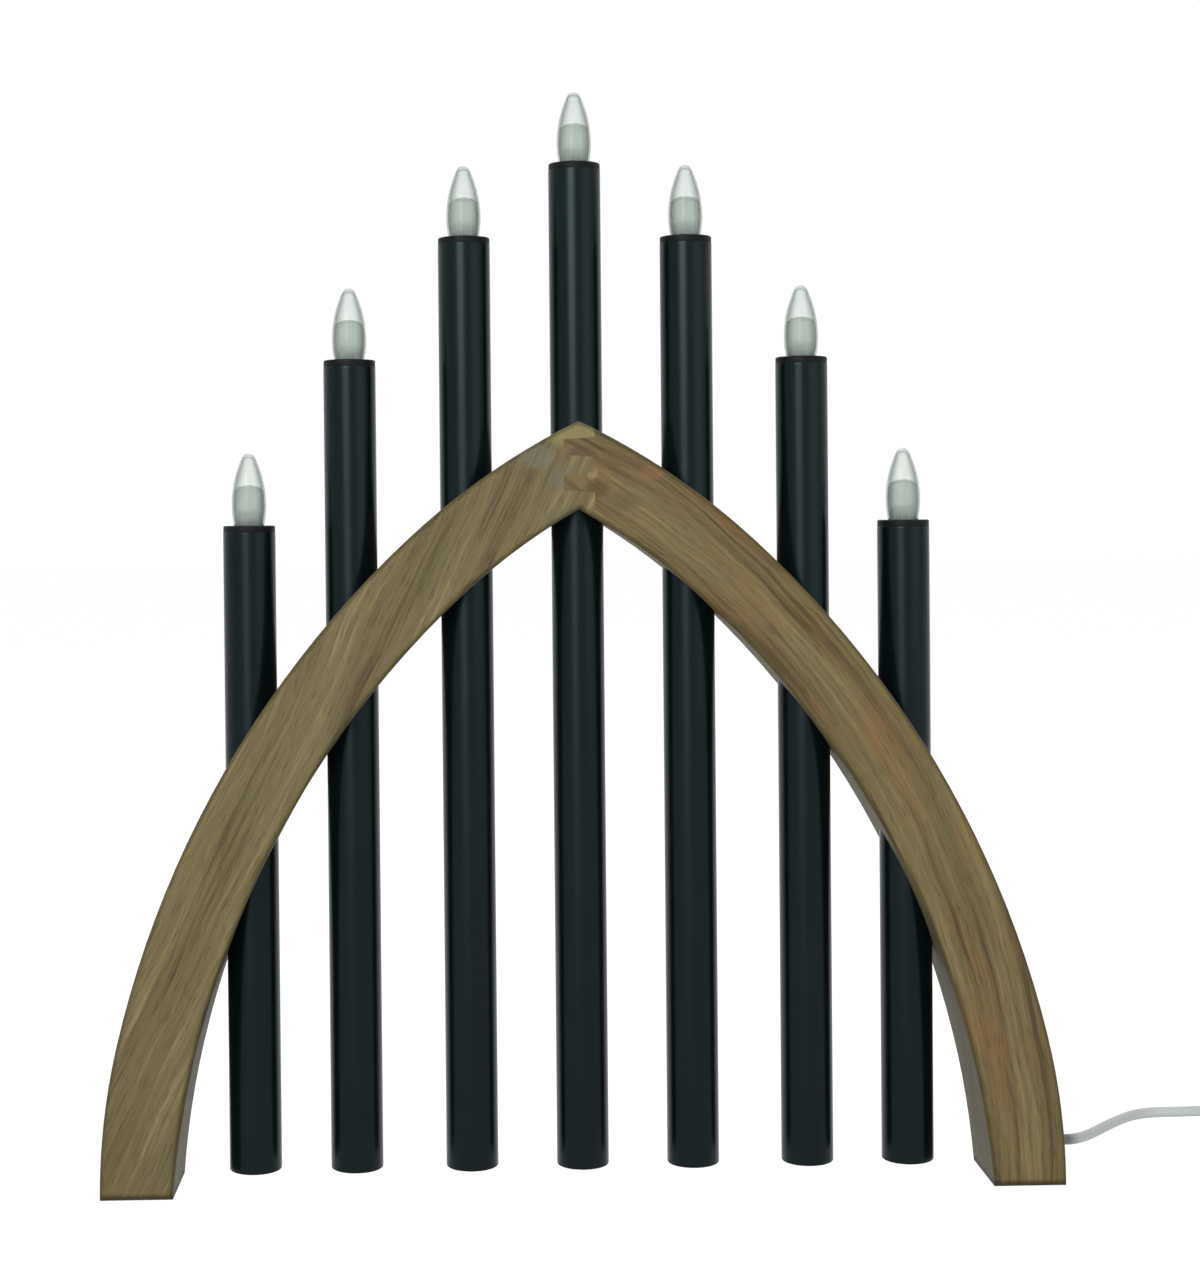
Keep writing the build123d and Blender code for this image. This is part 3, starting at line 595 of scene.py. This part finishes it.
clearLook = {
    "stretch": (1, 1, 0.35),
    "driftDetail": 2.0,
    "driftLevels": (0.3, 0.7),
    "slant": (0.08, 0.5),  # from the tint, seen square on, to the rim's colour
}


def makeClear(name, values, tint, rim, rough, depth, scale, **settings):
    tree, shader = newMaterial(name, **settings)
    stretched = stretchNode(tree, objectPosition(tree), values["stretch"])
    drift = noiseNode(tree, stretched, scale, values["driftDetail"])
    facing = addNode(tree, "ShaderNodeLayerWeight").outputs["Facing"]
    slanted = rangeNode(tree, facing, *values["slant"])
    feed(tree, shader, "Base Color", mixColour(tree, slanted, tint, rim))
    feed(tree, shader, "Roughness", rangeNode(tree, drift, *values["driftLevels"], *rough))
    feed(tree, shader, "Normal", bumpNode(tree, drift, depth))


makeClear(
    "lensClear", clearLook, tint=srgb(240, 243, 241), rim=srgb(180, 186, 182), rough=(0.04, 0.1),
    depth=0.00002, scale=260.0, Transmission_Weight=1.0, IOR=1.2,
)
makeClear(
    "guideClear", clearLook, tint=srgb(240, 245, 242), rim=srgb(230, 236, 232), rough=(0.34, 0.44),
    depth=0.00004, scale=420.0, Transmission_Weight=0.45, IOR=1.25,
)
print("finishes made")


# mains cord: the route of its free stretch, then the put-away coil, on one spline

cordRoute = {
    "diameter": 0.005,
    "exit": (0.2200, 0.0195, 0.0095),
    "length": 1.8,
    "freePoints": [
        (0.2039, 0.0187, 0.0097),
        (0.2266, 0.0187, 0.0097),
        (0.2434, 0.0384, 0.0050),
        (0.2672, 0.0690, 0.0050),
        (0.2878, 0.0948, 0.0027),
        (0.3109, 0.0952, 0.0025),
        (0.3450, 0.1000, 0.0025),
        (0.3650, 0.1000, 0.0025),
    ],
    "coilStart": (0.3700, 0.1000),
    "coilRadius": 0.0412,
    "coilPitch": 0.00545,
    "turnsEachLayer": 4,
    "pointsEachTurn": 24,
    "lowHeight": 0.0025,
    "tailRadius": 0.052,
    "tailHeights": (0.0070, 0.0048, 0.0027, 0.0026, 0.0042, 0.0068),
    "plugEntry": (0.422, 0.043, 0.00795),
    "smoothness": 6,
}


def coilPoints(values):
    # half turns, each drawn in or let out by half a pitch, in on the floor and out again a layer higher
    step = 2 * math.pi / values["pointsEachTurn"]
    spread = 1 / math.cos(step / 2)  # the spline runs inside its points by this much
    halves = 2 * values["turnsEachLayer"]
    inwards = [values["coilRadius"] - number * values["coilPitch"] / 2 for number in range(halves)]
    radii = [*inwards, values["coilRadius"] - halves * values["coilPitch"] / 2, *reversed(inwards[1:])]
    perHalf = values["pointsEachTurn"] // 2
    points, side = [], 1
    x, y = values["coilStart"]
    for number, radius in enumerate(radii):
        centre = y - side * radius
        for count in range(perHalf):
            angle = (count + 0.5) * step
            rise = min(max((number - halves + (count + 0.5) / perHalf), 0), 1)
            height = values["lowHeight"] + rise * values["coilPitch"]
            reach = side * radius * spread
            points.append((x + reach * math.sin(angle), centre + reach * math.cos(angle), height))
        y = centre - side * radius
        side = -side
    return points, (x, y)


def tailPoints(values, start):
    # a quarter turn to the right out of the coil, dipping to the floor between the coil and the plug
    heights, radius = values["tailHeights"], values["tailRadius"]
    points = []
    for number, height in enumerate(heights):
        angle = (number + 0.5) / len(heights) * math.pi / 2
        x, y = radius * math.sin(angle), radius * (1 - math.cos(angle))
        points.append((start[0] + x, start[1] - y, height))
    return points


def makeCord(values):
    coil, coilEnd = coilPoints(values)
    points = [*values["freePoints"], *coil, *tailPoints(values, coilEnd), values["plugEntry"]]
    line = bpy.data.curves.new("mainsCord", "CURVE")
    line.dimensions = "3D"
    spline = line.splines.new("NURBS")
    spline.points.add(len(points) - 1)
    spline.points.foreach_set("co", np.array([(*point, 1.0) for point in points], "f").ravel())
    spline.order_u = 3
    spline.use_endpoint_u = True
    spline.resolution_u = values["smoothness"]
    line.bevel_depth = values["diameter"] / 2
    line.bevel_resolution = values["smoothness"]
    line.use_fill_caps = True
    cord = bpy.data.objects.new("mainsCord", line)
    scene.collection.objects.link(cord)
    line.materials.append(finishes["cordSheath"])
    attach(cord, "root")
    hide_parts("cord_lead", "cord_coil")
    print("cord laid:", len(points), "points")
    return cord


cord = makeCord(cordRoute)


# mains plug: a flat moulded body, a ribbed boot and two sleeved pins

plugShape = {
    "centre": (0.422, 0.00685),  # X and Z of the body's middle, in metres
    "faceY": -13.0,
    "bootY": 21.0,
    "shoulderY": 4.0,
    "halfWidth": 17.55,
    "halfThickness": 6.75,
    "neckHalfWidth": 7.0,
    "neckHalfThickness": 5.0,
    "squareness": 4.5,
    "edgePlaces": (0, 0.08, 0.35, 0.8, 1.4),  # behind the face, where the sides are drawn in by edgeInsets
    "edgeInsets": (1.4, 1.0, 0.5, 0.15, 0.0),
    "firstRow": 2,  # the even rows of points start this far behind the face
    "bodyRows": 80,
    "gripRidges": 4,
    "gripMargins": (2, 3),
    "ridgeHeight": 0.3,
    "bootLength": 22.0,
    "bootOverlap": 0.5,
    "bootRadius": 3.9,
    "bootEndRadius": 3.3,
    "bootEndHeight": 1.1,
    "bootEdge": 0.25,
    "bootMouth": 2.3,
    "mouthDish": 0.1,
    "bootRibs": 6,
    "ribShares": (0.12, 0.92),
    "ribDepth": 0.55,
    "ribSteepness": 1.6,
    "pinSpacing": 19.0,
    "pinRadius": 1.85,
    "pinLength": 19.0,
    "pinRounding": 1.2,
    "pinRoot": 0.5,
    "sleeveRadius": 1.95,
    "sleeveLength": 9.5,
    "sleeveRounding": 0.2,
}


def plugSections(values, y, across, upwards):
    # sections square to Y, one a row, from the body's middle line
    x = values["centre"][0] + across * mm
    z = values["centre"][1] + upwards * mm
    return np.stack([x, y[:, None] * mm + 0 * x, z], -1)


def plugBody(values):
    # sections square to Y are superellipses, |x/a|^n + |z/b|^n = 1, with a and b eased from face to neck
    start, end, shoulder = values["faceY"], values["bootY"], values["shoulderY"]
    edge = start + np.array([0, *values["edgePlaces"]])
    y = np.concatenate([edge, np.linspace(start + values["firstRow"], end, values["bodyRows"])])
    share = np.clip((y - shoulder) / (end - shoulder), 0, 1)
    ease = share * share * (3 - 2 * share)
    halfWidth = values["halfWidth"] + (values["neckHalfWidth"] - values["halfWidth"]) * ease
    halfThick = values["halfThickness"] + (values["neckHalfThickness"] - values["halfThickness"]) * ease
    before, after = values["gripMargins"]
    inGrip = np.clip((y - shoulder - before) / (end - shoulder - before - after), 0, 1)
    ridge = np.maximum(np.sin(2 * np.pi * values["gripRidges"] * inGrip), 0)
    halfThick = halfThick + values["ridgeHeight"] * ridge * (share > 0)
    drawnIn = np.interp(y - start, values["edgePlaces"], values["edgeInsets"])
    halfWidth, halfThick = halfWidth - drawnIn, halfThick - drawnIn
    halfWidth[0] = halfThick[0] = 0
    angle = wholeTurn(96)
    power = 2 / values["squareness"]
    across = np.sign(np.cos(angle)) * np.abs(np.cos(angle)) ** power
    upwards = np.sign(np.sin(angle)) * np.abs(np.sin(angle)) ** power
    return plugSections(values, y, halfWidth[:, None] * across, halfThick[:, None] * upwards)


def plugBoot(values):
    # a cone along Y whose radius dips in evenly spaced grooves; its axis climbs to the cord's end
    share = np.concatenate([np.linspace(0, 1, 110), [1, 1]])
    radius = values["bootRadius"] + (values["bootEndRadius"] - values["bootRadius"]) * share
    first, last = values["ribShares"]
    wave = np.sin(2 * np.pi * values["bootRibs"] * (share - first) / (last - first))
    inRibs = (share > first) & (share < last)
    radius = radius - values["ribDepth"] * np.clip(wave * values["ribSteepness"], 0, 1) * inRibs
    radius[-2:] = values["bootEndRadius"] - values["bootEdge"], values["bootMouth"]
    overlap = values["bootOverlap"]
    y = values["bootY"] - overlap + (values["bootLength"] + overlap) * share
    y[-1] -= values["mouthDish"]
    lift = values["bootEndHeight"] * share * share * (3 - 2 * share)
    angle, radius = wholeTurn(48), radius[:, None]
    return plugSections(values, y, radius * np.cos(angle), lift[:, None] + radius * np.sin(angle))


def alongY(points, centre, faceY):
    # a shape turned round the upright axis, laid down so that its height runs along -Y from the plug's face
    x, y, z = points[..., 0], points[..., 1], points[..., 2]
    return np.stack([centre[0] + x, faceY - z, centre[1] + y], -1)


def pinGrids(values, line):
    grids = []
    for side in (-1, 1):
        place = (values["centre"][0] + side * values["pinSpacing"] / 2 * mm, values["centre"][1])
        grids.append(alongY(turnedGrid(line, 0, 0, 40), place, values["faceY"] * mm))
    return grids


def makePlug(values):
    sleeve, root = values["sleeveLength"], values["pinRoot"]
    sleeveLine = rodLine(values["sleeveRadius"], -root, sleeve, values["sleeveRounding"])
    pinLine = rodLine(values["pinRadius"], sleeve - root, values["pinLength"], values["pinRounding"])
    rows = [
        ("plugBody", [plugBody(values)], "plugPlastic", "plug_plastic", ["power_plug"], 50),
        ("plugBoot", [plugBoot(values)], "plugPlastic", "plug_plastic", (), 50),
        ("plugSleeves", pinGrids(values, sleeveLine), "pinSleeve", "pin_metal", (), 40),
        ("plugPins", pinGrids(values, pinLine), "pinNickel", "pin_metal", ["plug_pins"], 40),
    ]
    return [addPiece(name, grids, finish, "root", *others) for name, grids, finish, *others in rows]


plugPieces = makePlug(plugShape)
print("plug made")


# candle tubes and their lamp holders: depths are in millimetres down from the top of the collar

candle = {
    "radius": 12.0,
    "wall": 0.8,
    "rings": 24,  # rows of points along a tube's outside
    "ringMargin": 1,
    "tubeRoundings": (0.15, 0.25),  # at the foot and at the rim
    "collarHeight": 3.0,
    "collarInset": 0.12,  # the collar's edge stands back by this much
    "collarGap": 0.02,
    "collarRoundings": (0.12, 0.7),  # at its foot and at its top
    "mouthRadius": 7.7,
    "mouthDepth": 3.4,
    "mouthRounding": 0.2,
    "lip": [(1.4, 0, 0.4), (0.9, -0.45, 0.3), (0.25, -0.45, 0.25)],  # out from the mouth, up, rounding
    "plugRadius": 11.1,
    "holderHeight": 24.0,
    "hollowRadius": 9.6,
    "hollowDepth": 16.0,
    "boreRadius": 5.45,
    "shellOuter": 5.35,
    "shellInner": 5.15,
    "shellTop": 3.7,
    "shellBottom": 14.5,
    "shellLip": 0.4,
    "shellLedge": 3.6,
    "shellRounding": 0.1,
    "ledgeHeight": 0.3,
    "tagPlace": 4.0,
    "tagBottom": 22.5,
    "tagHalfWidth": 1.5,
    "tagHalfThickness": 0.17,
    "tagRoot": 0.15,
    "shellThread": {"pitch": 1.81, "fade": 0.8, "depth": 0.16},
    "capThread": {"pitch": 1.81, "fade": 0.9, "depth": 0.42},
}


def candleTop(number):
    # the middle of a tube, its foot, and the top of the collar, which stands on the tube
    low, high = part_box(f"candle_tube_{number}")
    return (low.x + high.x) / 2, low.z, high.z + candle["collarHeight"] * mm


def barGrid(low, high):
    # a closed block: a ring of four corners at each end and a point in the middle of each end
    (x0, y0, z0), (x1, y1, z1) = low, high
    ring = np.array([(x0, y0), (x1, y0), (x1, y1), (x0, y1)])
    middle = np.tile(ring.mean(0), (4, 1))
    rows = [(middle, z0), (ring, z0), (ring, z1), (middle, z1)]
    return np.stack([np.column_stack([row, np.full(4, level)]) for row, level in rows])


def makeTube(number, values):
    x, bottom, top = candleTop(number)
    foot, rim = (bottom - top) / mm, -values["collarHeight"]
    outer, inner = values["radius"], values["radius"] - values["wall"]
    atFoot, atRim = values["tubeRoundings"]
    steps = 5
    corners = [(outer, foot, atFoot), (outer, rim, atRim), (inner, rim, atRim), (inner, foot, atFoot)]
    line = roundedLine(corners, steps, closed=True)
    levels = np.linspace(foot + values["ringMargin"], rim - values["ringMargin"], values["rings"])
    rings = np.column_stack([np.full(len(levels), outer), levels])
    line = np.concatenate([line[:steps], rings, line[steps:]])
    grid = turnedGrid(line, x, top, 128)
    node = f"candle_tube_{number}"
    addPiece(f"candleTube{number}", [grid], "tubePaint", "root", "black_tube", [node], closed=True)


def makeHolder(number, values):
    x, _, top = candleTop(number)
    outer = values["radius"] - values["collarInset"]
    bore, mouth = values["boreRadius"], values["mouthRadius"]
    seat, foot = -values["collarHeight"] - values["collarGap"], -values["holderHeight"]
    hollow, hollowTop = values["hollowRadius"], -values["hollowDepth"]
    atSeat, atTop = values["collarRoundings"]
    corners = [
        (bore, hollowTop, 0),
        (hollow, hollowTop, 0),
        (hollow, foot, 0),
        (values["plugRadius"], foot, 0),
        (values["plugRadius"], seat, 0),
        (outer, seat, atSeat),
        (outer, 0, atTop),
        *[(mouth + out, height, rounding) for out, height, rounding in values["lip"]],
        (mouth, -values["mouthDepth"], values["mouthRounding"]),
        (bore, -values["mouthDepth"], values["mouthRounding"]),
    ]
    grid = turnedGrid(roundedLine(corners, closed=True), x, top, 112)
    node = f"lamp_holder_{number}"
    addPiece(f"lampHolder{number}", [grid], "holderPlastic", "root", "holder_plastic", [node], closed=True)


def makeShells(values):
    outer, inner, ledge = values["shellOuter"], values["shellInner"], values["shellLedge"]
    upper, lower = -values["shellTop"], -values["shellBottom"]
    lip, step = upper - values["shellLip"], lower + values["ledgeHeight"]
    tag, halfWidth, halfThick = values["tagPlace"], values["tagHalfWidth"], values["tagHalfThickness"]
    small = values["shellRounding"]
    lead = roundedLine([(inner, lip, 0), (inner, upper, small), (outer, upper, small), (outer, lower, 0)])
    rest = roundedLine([(outer, lower, 0), (ledge, lower, small), (ledge, step, small), (inner, step, 0)])
    shellLine = np.concatenate([lead, rest])
    grids = []
    for number in bulbNumbers:
        x, _, top = candleTop(number)
        grids.append(turnedGrid(shellLine, x, top, 72))
        grids.append(threadGrid(x, top, inner, lip, step, values["shellThread"]))
        low = (x - halfWidth * mm, -(tag + halfThick) * mm, top - values["tagBottom"] * mm)
        high = (x + halfWidth * mm, -(tag - halfThick) * mm, top + (lower + values["tagRoot"]) * mm)
        grids.append(barGrid(low, high))
    addPiece("holderShells", grids, "shellBrass", "root", "shell_metal", ["holder_shells"], 50)


for number in bulbNumbers:
    makeTube(number, candle)
    makeHolder(number, candle)
makeShells(candle)
print("tubes and holders made")


# bulbs: heights are in millimetres up from the top of the collar

bulb = {
    "height": 33.3,
    "bellyRadius": 7.9,
    "bellyHeight": 9.5,
    "footRadius": 6.3,
    "footDepth": 2.6,
    "tipRadius": 3.2,
    "wall": 0.7,
    "hollowTop": 32.2,  # above this the tip is solid
    "hollowCrown": 3,
    "lensRows": (22, 36, 16),  # points along the lower arc, the upper arc and the tip's ball
    "crownRows": 14,
    "domeRows": 18,
    "guideGap": 0.15,
    "guideShoulder": 15.4,
    "guideCrown": 3.6,  # the domed top rises above the shoulder by this much
    "guideFoot": -1.55,
    "guideBore": 4.9,
    "guideFloor": 6.6,
    "sideStart": 0.3,  # the fluted side starts this far above the foot
    "floorRise": 0.3,
    "boreRounding": 0.2,
    "floorRounding": 1.2,
    "guideFlutes": 22,
    "fluteDepth": 0.15,
    "capRadius": 4.62,
    "capTop": -3.0,
    "capBottom": -10.0,
    # profiles of turned parts, as (radius, height, rounding)
    "board": [
        (0, -9.0, 0),
        (3.9, -9.0, 0.2),
        (3.9, -2.55, 0.1),
        (4.9, -2.55, 0.1),
        (4.9, -1.6, 0.1),
        (0, -1.6, 0),
    ],
    "led": [
        (0, -1.6, 0),
        (2.2, -1.6, 0.1),
        (2.2, -0.6, 0.2),
        (2.4, -0.6, 0.1),
        (2.4, 4.6, 1.5),
        (0, 4.6, 0),
    ],
    "capFlange": [(4.3, -2.6, 0), (6.15, -2.6, 0.15), (6.15, -2.98, 0.15), (4.62, -3.0, 0)],
    "capEnd": [(4.62, -10.0, 0), (4.62, -10.5, 0.4), (4.2, -10.5, 0)],
    "foot": [
        (0, -10.3, 0),
        (4.4, -10.3, 0),
        (4.35, -10.55, 0.1),
        (2.1, -11.7, 0.2),
        (1.6, -11.8, 0.05),
        (0, -11.8, 0),
    ],
    "contact": [(0, -11.6, 0), (1.5, -11.6, 0), (1.5, -12.55, 0.7), (0, -12.6, 0)],
}


def lensLine(values, wall):
    # an arc from the foot to the belly, an arc from there to the tip's ball, and the ball, all tangent
    belly = values["bellyRadius"] - wall
    tip = values["tipRadius"] - wall
    foot = values["footRadius"] - wall
    middle = values["bellyHeight"]
    ball = values["height"] - values["tipRadius"]
    rise, drop = ball - middle, middle + values["footDepth"]
    sideRadius = (belly**2 + rise**2 - tip**2) / (2 * (belly - tip))
    sideCentre = belly - sideRadius
    lowRadius = ((belly - foot) ** 2 + drop**2) / (2 * (belly - foot))
    lowRows, sideRows, tipRows = values["lensRows"]
    low = np.linspace(-math.asin(drop / lowRadius), 0, lowRows, endpoint=False)
    lower = np.stack([belly - lowRadius + lowRadius * np.cos(low), middle + lowRadius * np.sin(low)], -1)
    meet = math.atan2(rise, -sideCentre)
    side = np.linspace(0, meet, sideRows, endpoint=False)
    upper = np.stack([sideCentre + sideRadius * np.cos(side), middle + sideRadius * np.sin(side)], -1)
    cap = np.linspace(meet, math.pi / 2, tipRows)
    top = np.stack([tip * np.cos(cap), ball + tip * np.sin(cap)], -1)
    top[-1, 0] = 0
    return np.concatenate([lower, upper, top])


def hollowLine(values):
    # the lens's inner wall, closed over by a quarter ellipse below the solid tip
    wall = lensLine(values, values["wall"])
    wall = wall[wall[:, 1] < values["hollowTop"] - values["hollowCrown"]]
    angle = np.linspace(0, math.pi / 2, values["crownRows"])[1:]
    radius, height = wall[-1]
    crown = values["hollowTop"] - height
    over = np.stack([radius * np.cos(angle), height + crown * np.sin(angle)], -1)
    over[-1, 0] = 0
    return np.concatenate([wall, over])


def guideGrid(values, x, top, around=264):
    # the lens's inner line drawn in by a gap, its radius less a cosine wave round the axis: shallow flutes
    foot, bore, floor = values["guideFoot"], values["guideBore"], values["guideFloor"]
    side = lensLine(values, values["wall"] + values["guideGap"])
    side = side[(side[:, 1] > foot + values["sideStart"]) & (side[:, 1] < values["guideShoulder"])][::-1]
    dome = np.linspace(math.pi / 2, 0, values["domeRows"])
    lid = np.stack([side[0, 0] * np.cos(dome), side[0, 1] + values["guideCrown"] * np.sin(dome)], -1)
    lid[0, 0] = 0
    hole = [
        (side[-1, 0], foot, 0),
        (bore, foot, values["boreRounding"]),
        (bore, floor, values["floorRounding"]),
        (0, floor + values["floorRise"], 0),
    ]
    points = turnedGrid(np.concatenate([lid[:-1], side, roundedLine(hole, 6)]), x, top, around)
    weight = np.zeros((len(points), 1, 1))
    weight[len(lid) - 3 : len(lid) - 1 + len(side)] = 1  # the side and the dome's last two rows
    angle = wholeTurn(around)[:, :, None]
    wave = (1 + np.cos(values["guideFlutes"] * angle)) / 2
    fromAxis = points[..., :2] - np.array([x, 0])
    reach = np.maximum(np.linalg.norm(fromAxis, axis=-1, keepdims=True), mm)
    points[..., :2] = np.array([x, 0]) + fromAxis * (1 - weight * values["fluteDepth"] * mm * wave / reach)
    return points


def makeBulb(number, values):
    x, _, top = candleTop(number)
    body = f"bulb_{number}"

    def turned(profile, steps, around):
        return turnedGrid(roundedLine(values[profile], steps), x, top, around)

    def add(name, grids, finish, slot, replaced=(), sharpDegrees=35):
        addPiece(f"{name}{number}", grids, finish, body, slot, replaced, sharpDegrees)

    shell = turnedGrid(np.concatenate([lensLine(values, 0), hollowLine(values)[::-1]]), x, top, 96)
    foot = np.stack([shell[-1], shell[0]])
    capSize = values["capRadius"], values["capTop"], values["capBottom"]
    thread = threadGrid(x, top, *capSize, candle["capThread"])
    cap = [turned("capFlange", 5, 72), thread, turned("capEnd", 5, 72)]
    add("bulbLens", [shell, foot], "lensClear", "clear_lens", [f"bulb_lens_{number}"], 60)
    add("bulbGuide", [guideGrid(values, x, top)], "guideClear", "light_guide", [f"bulb_led_{number}"], 40)
    add("bulbBoard", [turned("board", 5, 64)], "boardWhite", "light_guide")
    add("bulbLed", [turned("led", 7, 48)], "ledDark", "light_guide")
    add("bulbCap", cap, "capNickel", "cap_metal", [f"bulb_cap_{number}"], 60)
    add("bulbFoot", [turned("foot", 5, 64)], "insulatorBlack", "contact_metal", [f"bulb_contact_{number}"])
    add("bulbContact", [turned("contact", 7, 48)], "contactSolder", "contact_metal")


for number in bulbNumbers:
    makeBulb(number, bulb)
print("bulbs made")


# countersunk screws in the back, with a cross recess

screw = {
    "headRadius": 2.8,
    "shankRadius": 1.45,
    "length": 16.5,
    "pointLength": 3,
    "armHalfWidth": 0.42,
    "armReach": 1.55,
    "wallSlope": 0.12,
    "endSlope": 0.5,
    "recessDepth": 1.3,
    "rows": 26,
    "around": 96,
    "turnSeed": 5,
    "nearTube": 0.01,
}


def screwPlaces(values):
    # the middle of each screw's bounds, told apart by the tube that it holds
    points = np.array([vertex.co for vertex in cadNodes["tube_fixing_screws"].data.vertices])
    places = []
    for number in bulbNumbers:
        x = candleTop(number)[0]
        mine = points[np.abs(points[:, 0] - x) < values["nearTube"]]
        places.append((x, mine[:, 1].max(), (mine[:, 2].min() + mine[:, 2].max()) / 2))
    return places


def screwGrid(values, place, turn):
    # the head's depth at (u, v) is greatest inside either arm of a cross and eases out at its walls
    angle = wholeTurn(values["around"])
    radius = np.linspace(0, values["headRadius"], values["rows"])[:, None]
    u, v = radius * np.cos(angle - turn), radius * np.sin(angle - turn)

    def arm(along, across):
        slope = values["wallSlope"]
        side = np.clip((values["armHalfWidth"] + slope - np.abs(across)) / (2 * slope), 0, 1)
        end = np.clip((values["armReach"] - np.abs(along)) / values["endSlope"], 0, 1)
        return side * end

    def ringPoints(reach, depth):
        x = place[0] + reach * np.cos(angle) * mm
        z = place[2] + reach * np.sin(angle) * mm
        return np.stack([x, place[1] - depth * mm, z], -1)

    face = ringPoints(radius, values["recessDepth"] * np.maximum(arm(u, v), arm(v, u)))
    head, shank, length = values["headRadius"], values["shankRadius"], values["length"]
    line = [(head, 0), (shank, head - shank), (shank, length - values["pointLength"]), (0, length)]
    line = np.array(line)[:, :, None] * np.ones_like(angle)
    return np.concatenate([face, ringPoints(line[:, 0], line[:, 1])[1:]])


def makeScrews(values):
    turns = np.random.default_rng(values["turnSeed"]).uniform(0, math.pi / 2, len(bulbNumbers))
    grids = [screwGrid(values, place, turn) for place, turn in zip(screwPlaces(values), turns)]
    addPiece("tubeScrews", grids, "screwZinc", "root", "screw_metal", ["tube_fixing_screws"], 40)


makeScrews(screw)
print("screws made")


# finishes on the CAD nodes that stay

nodeFinish = {
    "arch_left": "oiledWoodLeft",
    "arch_right": "oiledWoodRight",
    "groove_strip_left": "stripWoodLeft",
    "groove_strip_right": "stripWoodRight",
    "tube_end_caps": "endCapPlastic",
    "holder_floors": "holderPlastic",
    "holder_springs": "shellBrass",
    "tube_leads": "leadSheath",
    "arch_wiring": "leadSheath",
    "cord_grip": "screwZinc",
}
for node, finish in nodeFinish.items():
    mesh = cadNodes[node].data
    mesh.materials.clear()
    mesh.materials.append(finishes[finish])
print("CAD nodes dressed")


# studio: a white floor and sky, two soft lights at the left, weak fills, and one behind that grazes the wood

studio = {
    "floorHalf": 15.0,
    "floorGlow": 0.95,
    "floorSeen": 0.22,
    "floorGrey": 0.85,
    "skyOnObject": 0.2,
    "lamps": [
        # name, place, width and height in metres, radiance
        ("keyLight", (-0.54, -1.66, 0.95), (0.84, 0.9), 8.4),
        ("lowLight", (-0.46, -1.62, 0.24), (0.7, 0.44), 2.1),
        ("fillLight", (1.25, -1.15, 0.6), (1.2, 0.9), 1.1),
        ("topLight", (0.0, -0.2, 2.0), (1.4, 1.0), 1.2),
        ("backLight", (0.0, 1.5, 1.9), (1.2, 0.7), 6.0),
    ],
    "aim": (0.0, 0.0, 0.24),
}


def seenByEye(tree):
    # 1 for rays from the camera and for those that metal and glass send out
    path = addNode(tree, "ShaderNodeLightPath").outputs
    seen = mathNode(tree, "MAXIMUM", path["Is Camera Ray"], path["Is Glossy Ray"])
    return mathNode(tree, "MAXIMUM", seen, path["Is Transmission Ray"])


def makeSky(values):
    world = bpy.data.worlds.new("studioSky")
    scene.world = world
    world.use_nodes = True
    tree = world.node_tree
    sky = tree.nodes["Background"]
    feed(tree, sky, "Color", (1, 1, 1, 1))
    feed(tree, sky, "Strength", rangeNode(tree, seenByEye(tree), 0, 1, values["skyOnObject"], 1.0))


def greyDiffuse(tree, level):
    return fedNode(tree, "ShaderNodeBsdfDiffuse", (level, level, level, 1))[0]


def makeFloor(values):
    # a plain diffuse floor for the light, and for the eye a faint one that glows, so only shadows show
    half = values["floorHalf"]
    corners = [(-half, -half, 0), (half, -half, 0), (half, half, 0), (-half, half, 0)]
    mesh = bpy.data.meshes.new("studioFloor")
    mesh.from_pydata(corners, [], [(0, 1, 2, 3)])
    material = bpy.data.materials.new("floorWhite")
    material.use_nodes = True
    tree = material.node_tree
    tree.nodes.clear()
    glow = addNode(tree, "ShaderNodeEmission")
    feed(tree, glow, "Strength", values["floorGlow"])
    shown = fedNode(tree, "ShaderNodeAddShader", greyDiffuse(tree, values["floorSeen"]), glow.outputs[0])[0]
    plain = greyDiffuse(tree, values["floorGrey"])
    choice = fedNode(tree, "ShaderNodeMixShader", seenByEye(tree), plain, shown)[0]
    fedNode(tree, "ShaderNodeOutputMaterial", choice)
    mesh.materials.append(material)
    floor = bpy.data.objects.new("studioFloor", mesh)
    scene.collection.objects.link(floor)


def makeLamps(values):
    for name, place, (width, height), radiance in values["lamps"]:
        lamp = bpy.data.lights.new(name, "AREA")
        lamp.shape = "RECTANGLE"
        lamp.size, lamp.size_y = width, height
        lamp.energy = radiance * math.pi * width * height
        holder = bpy.data.objects.new(name, lamp)
        holder.location = place
        toward = Vector(values["aim"]) - Vector(place)
        holder.rotation_euler = toward.to_track_quat("-Z", "Y").to_euler()
        holder.visible_transmission = False  # no lamp shows through the clear bulbs
        scene.collection.objects.link(holder)


makeSky(studio)
makeFloor(studio)
makeLamps(studio)
print("studio lit")
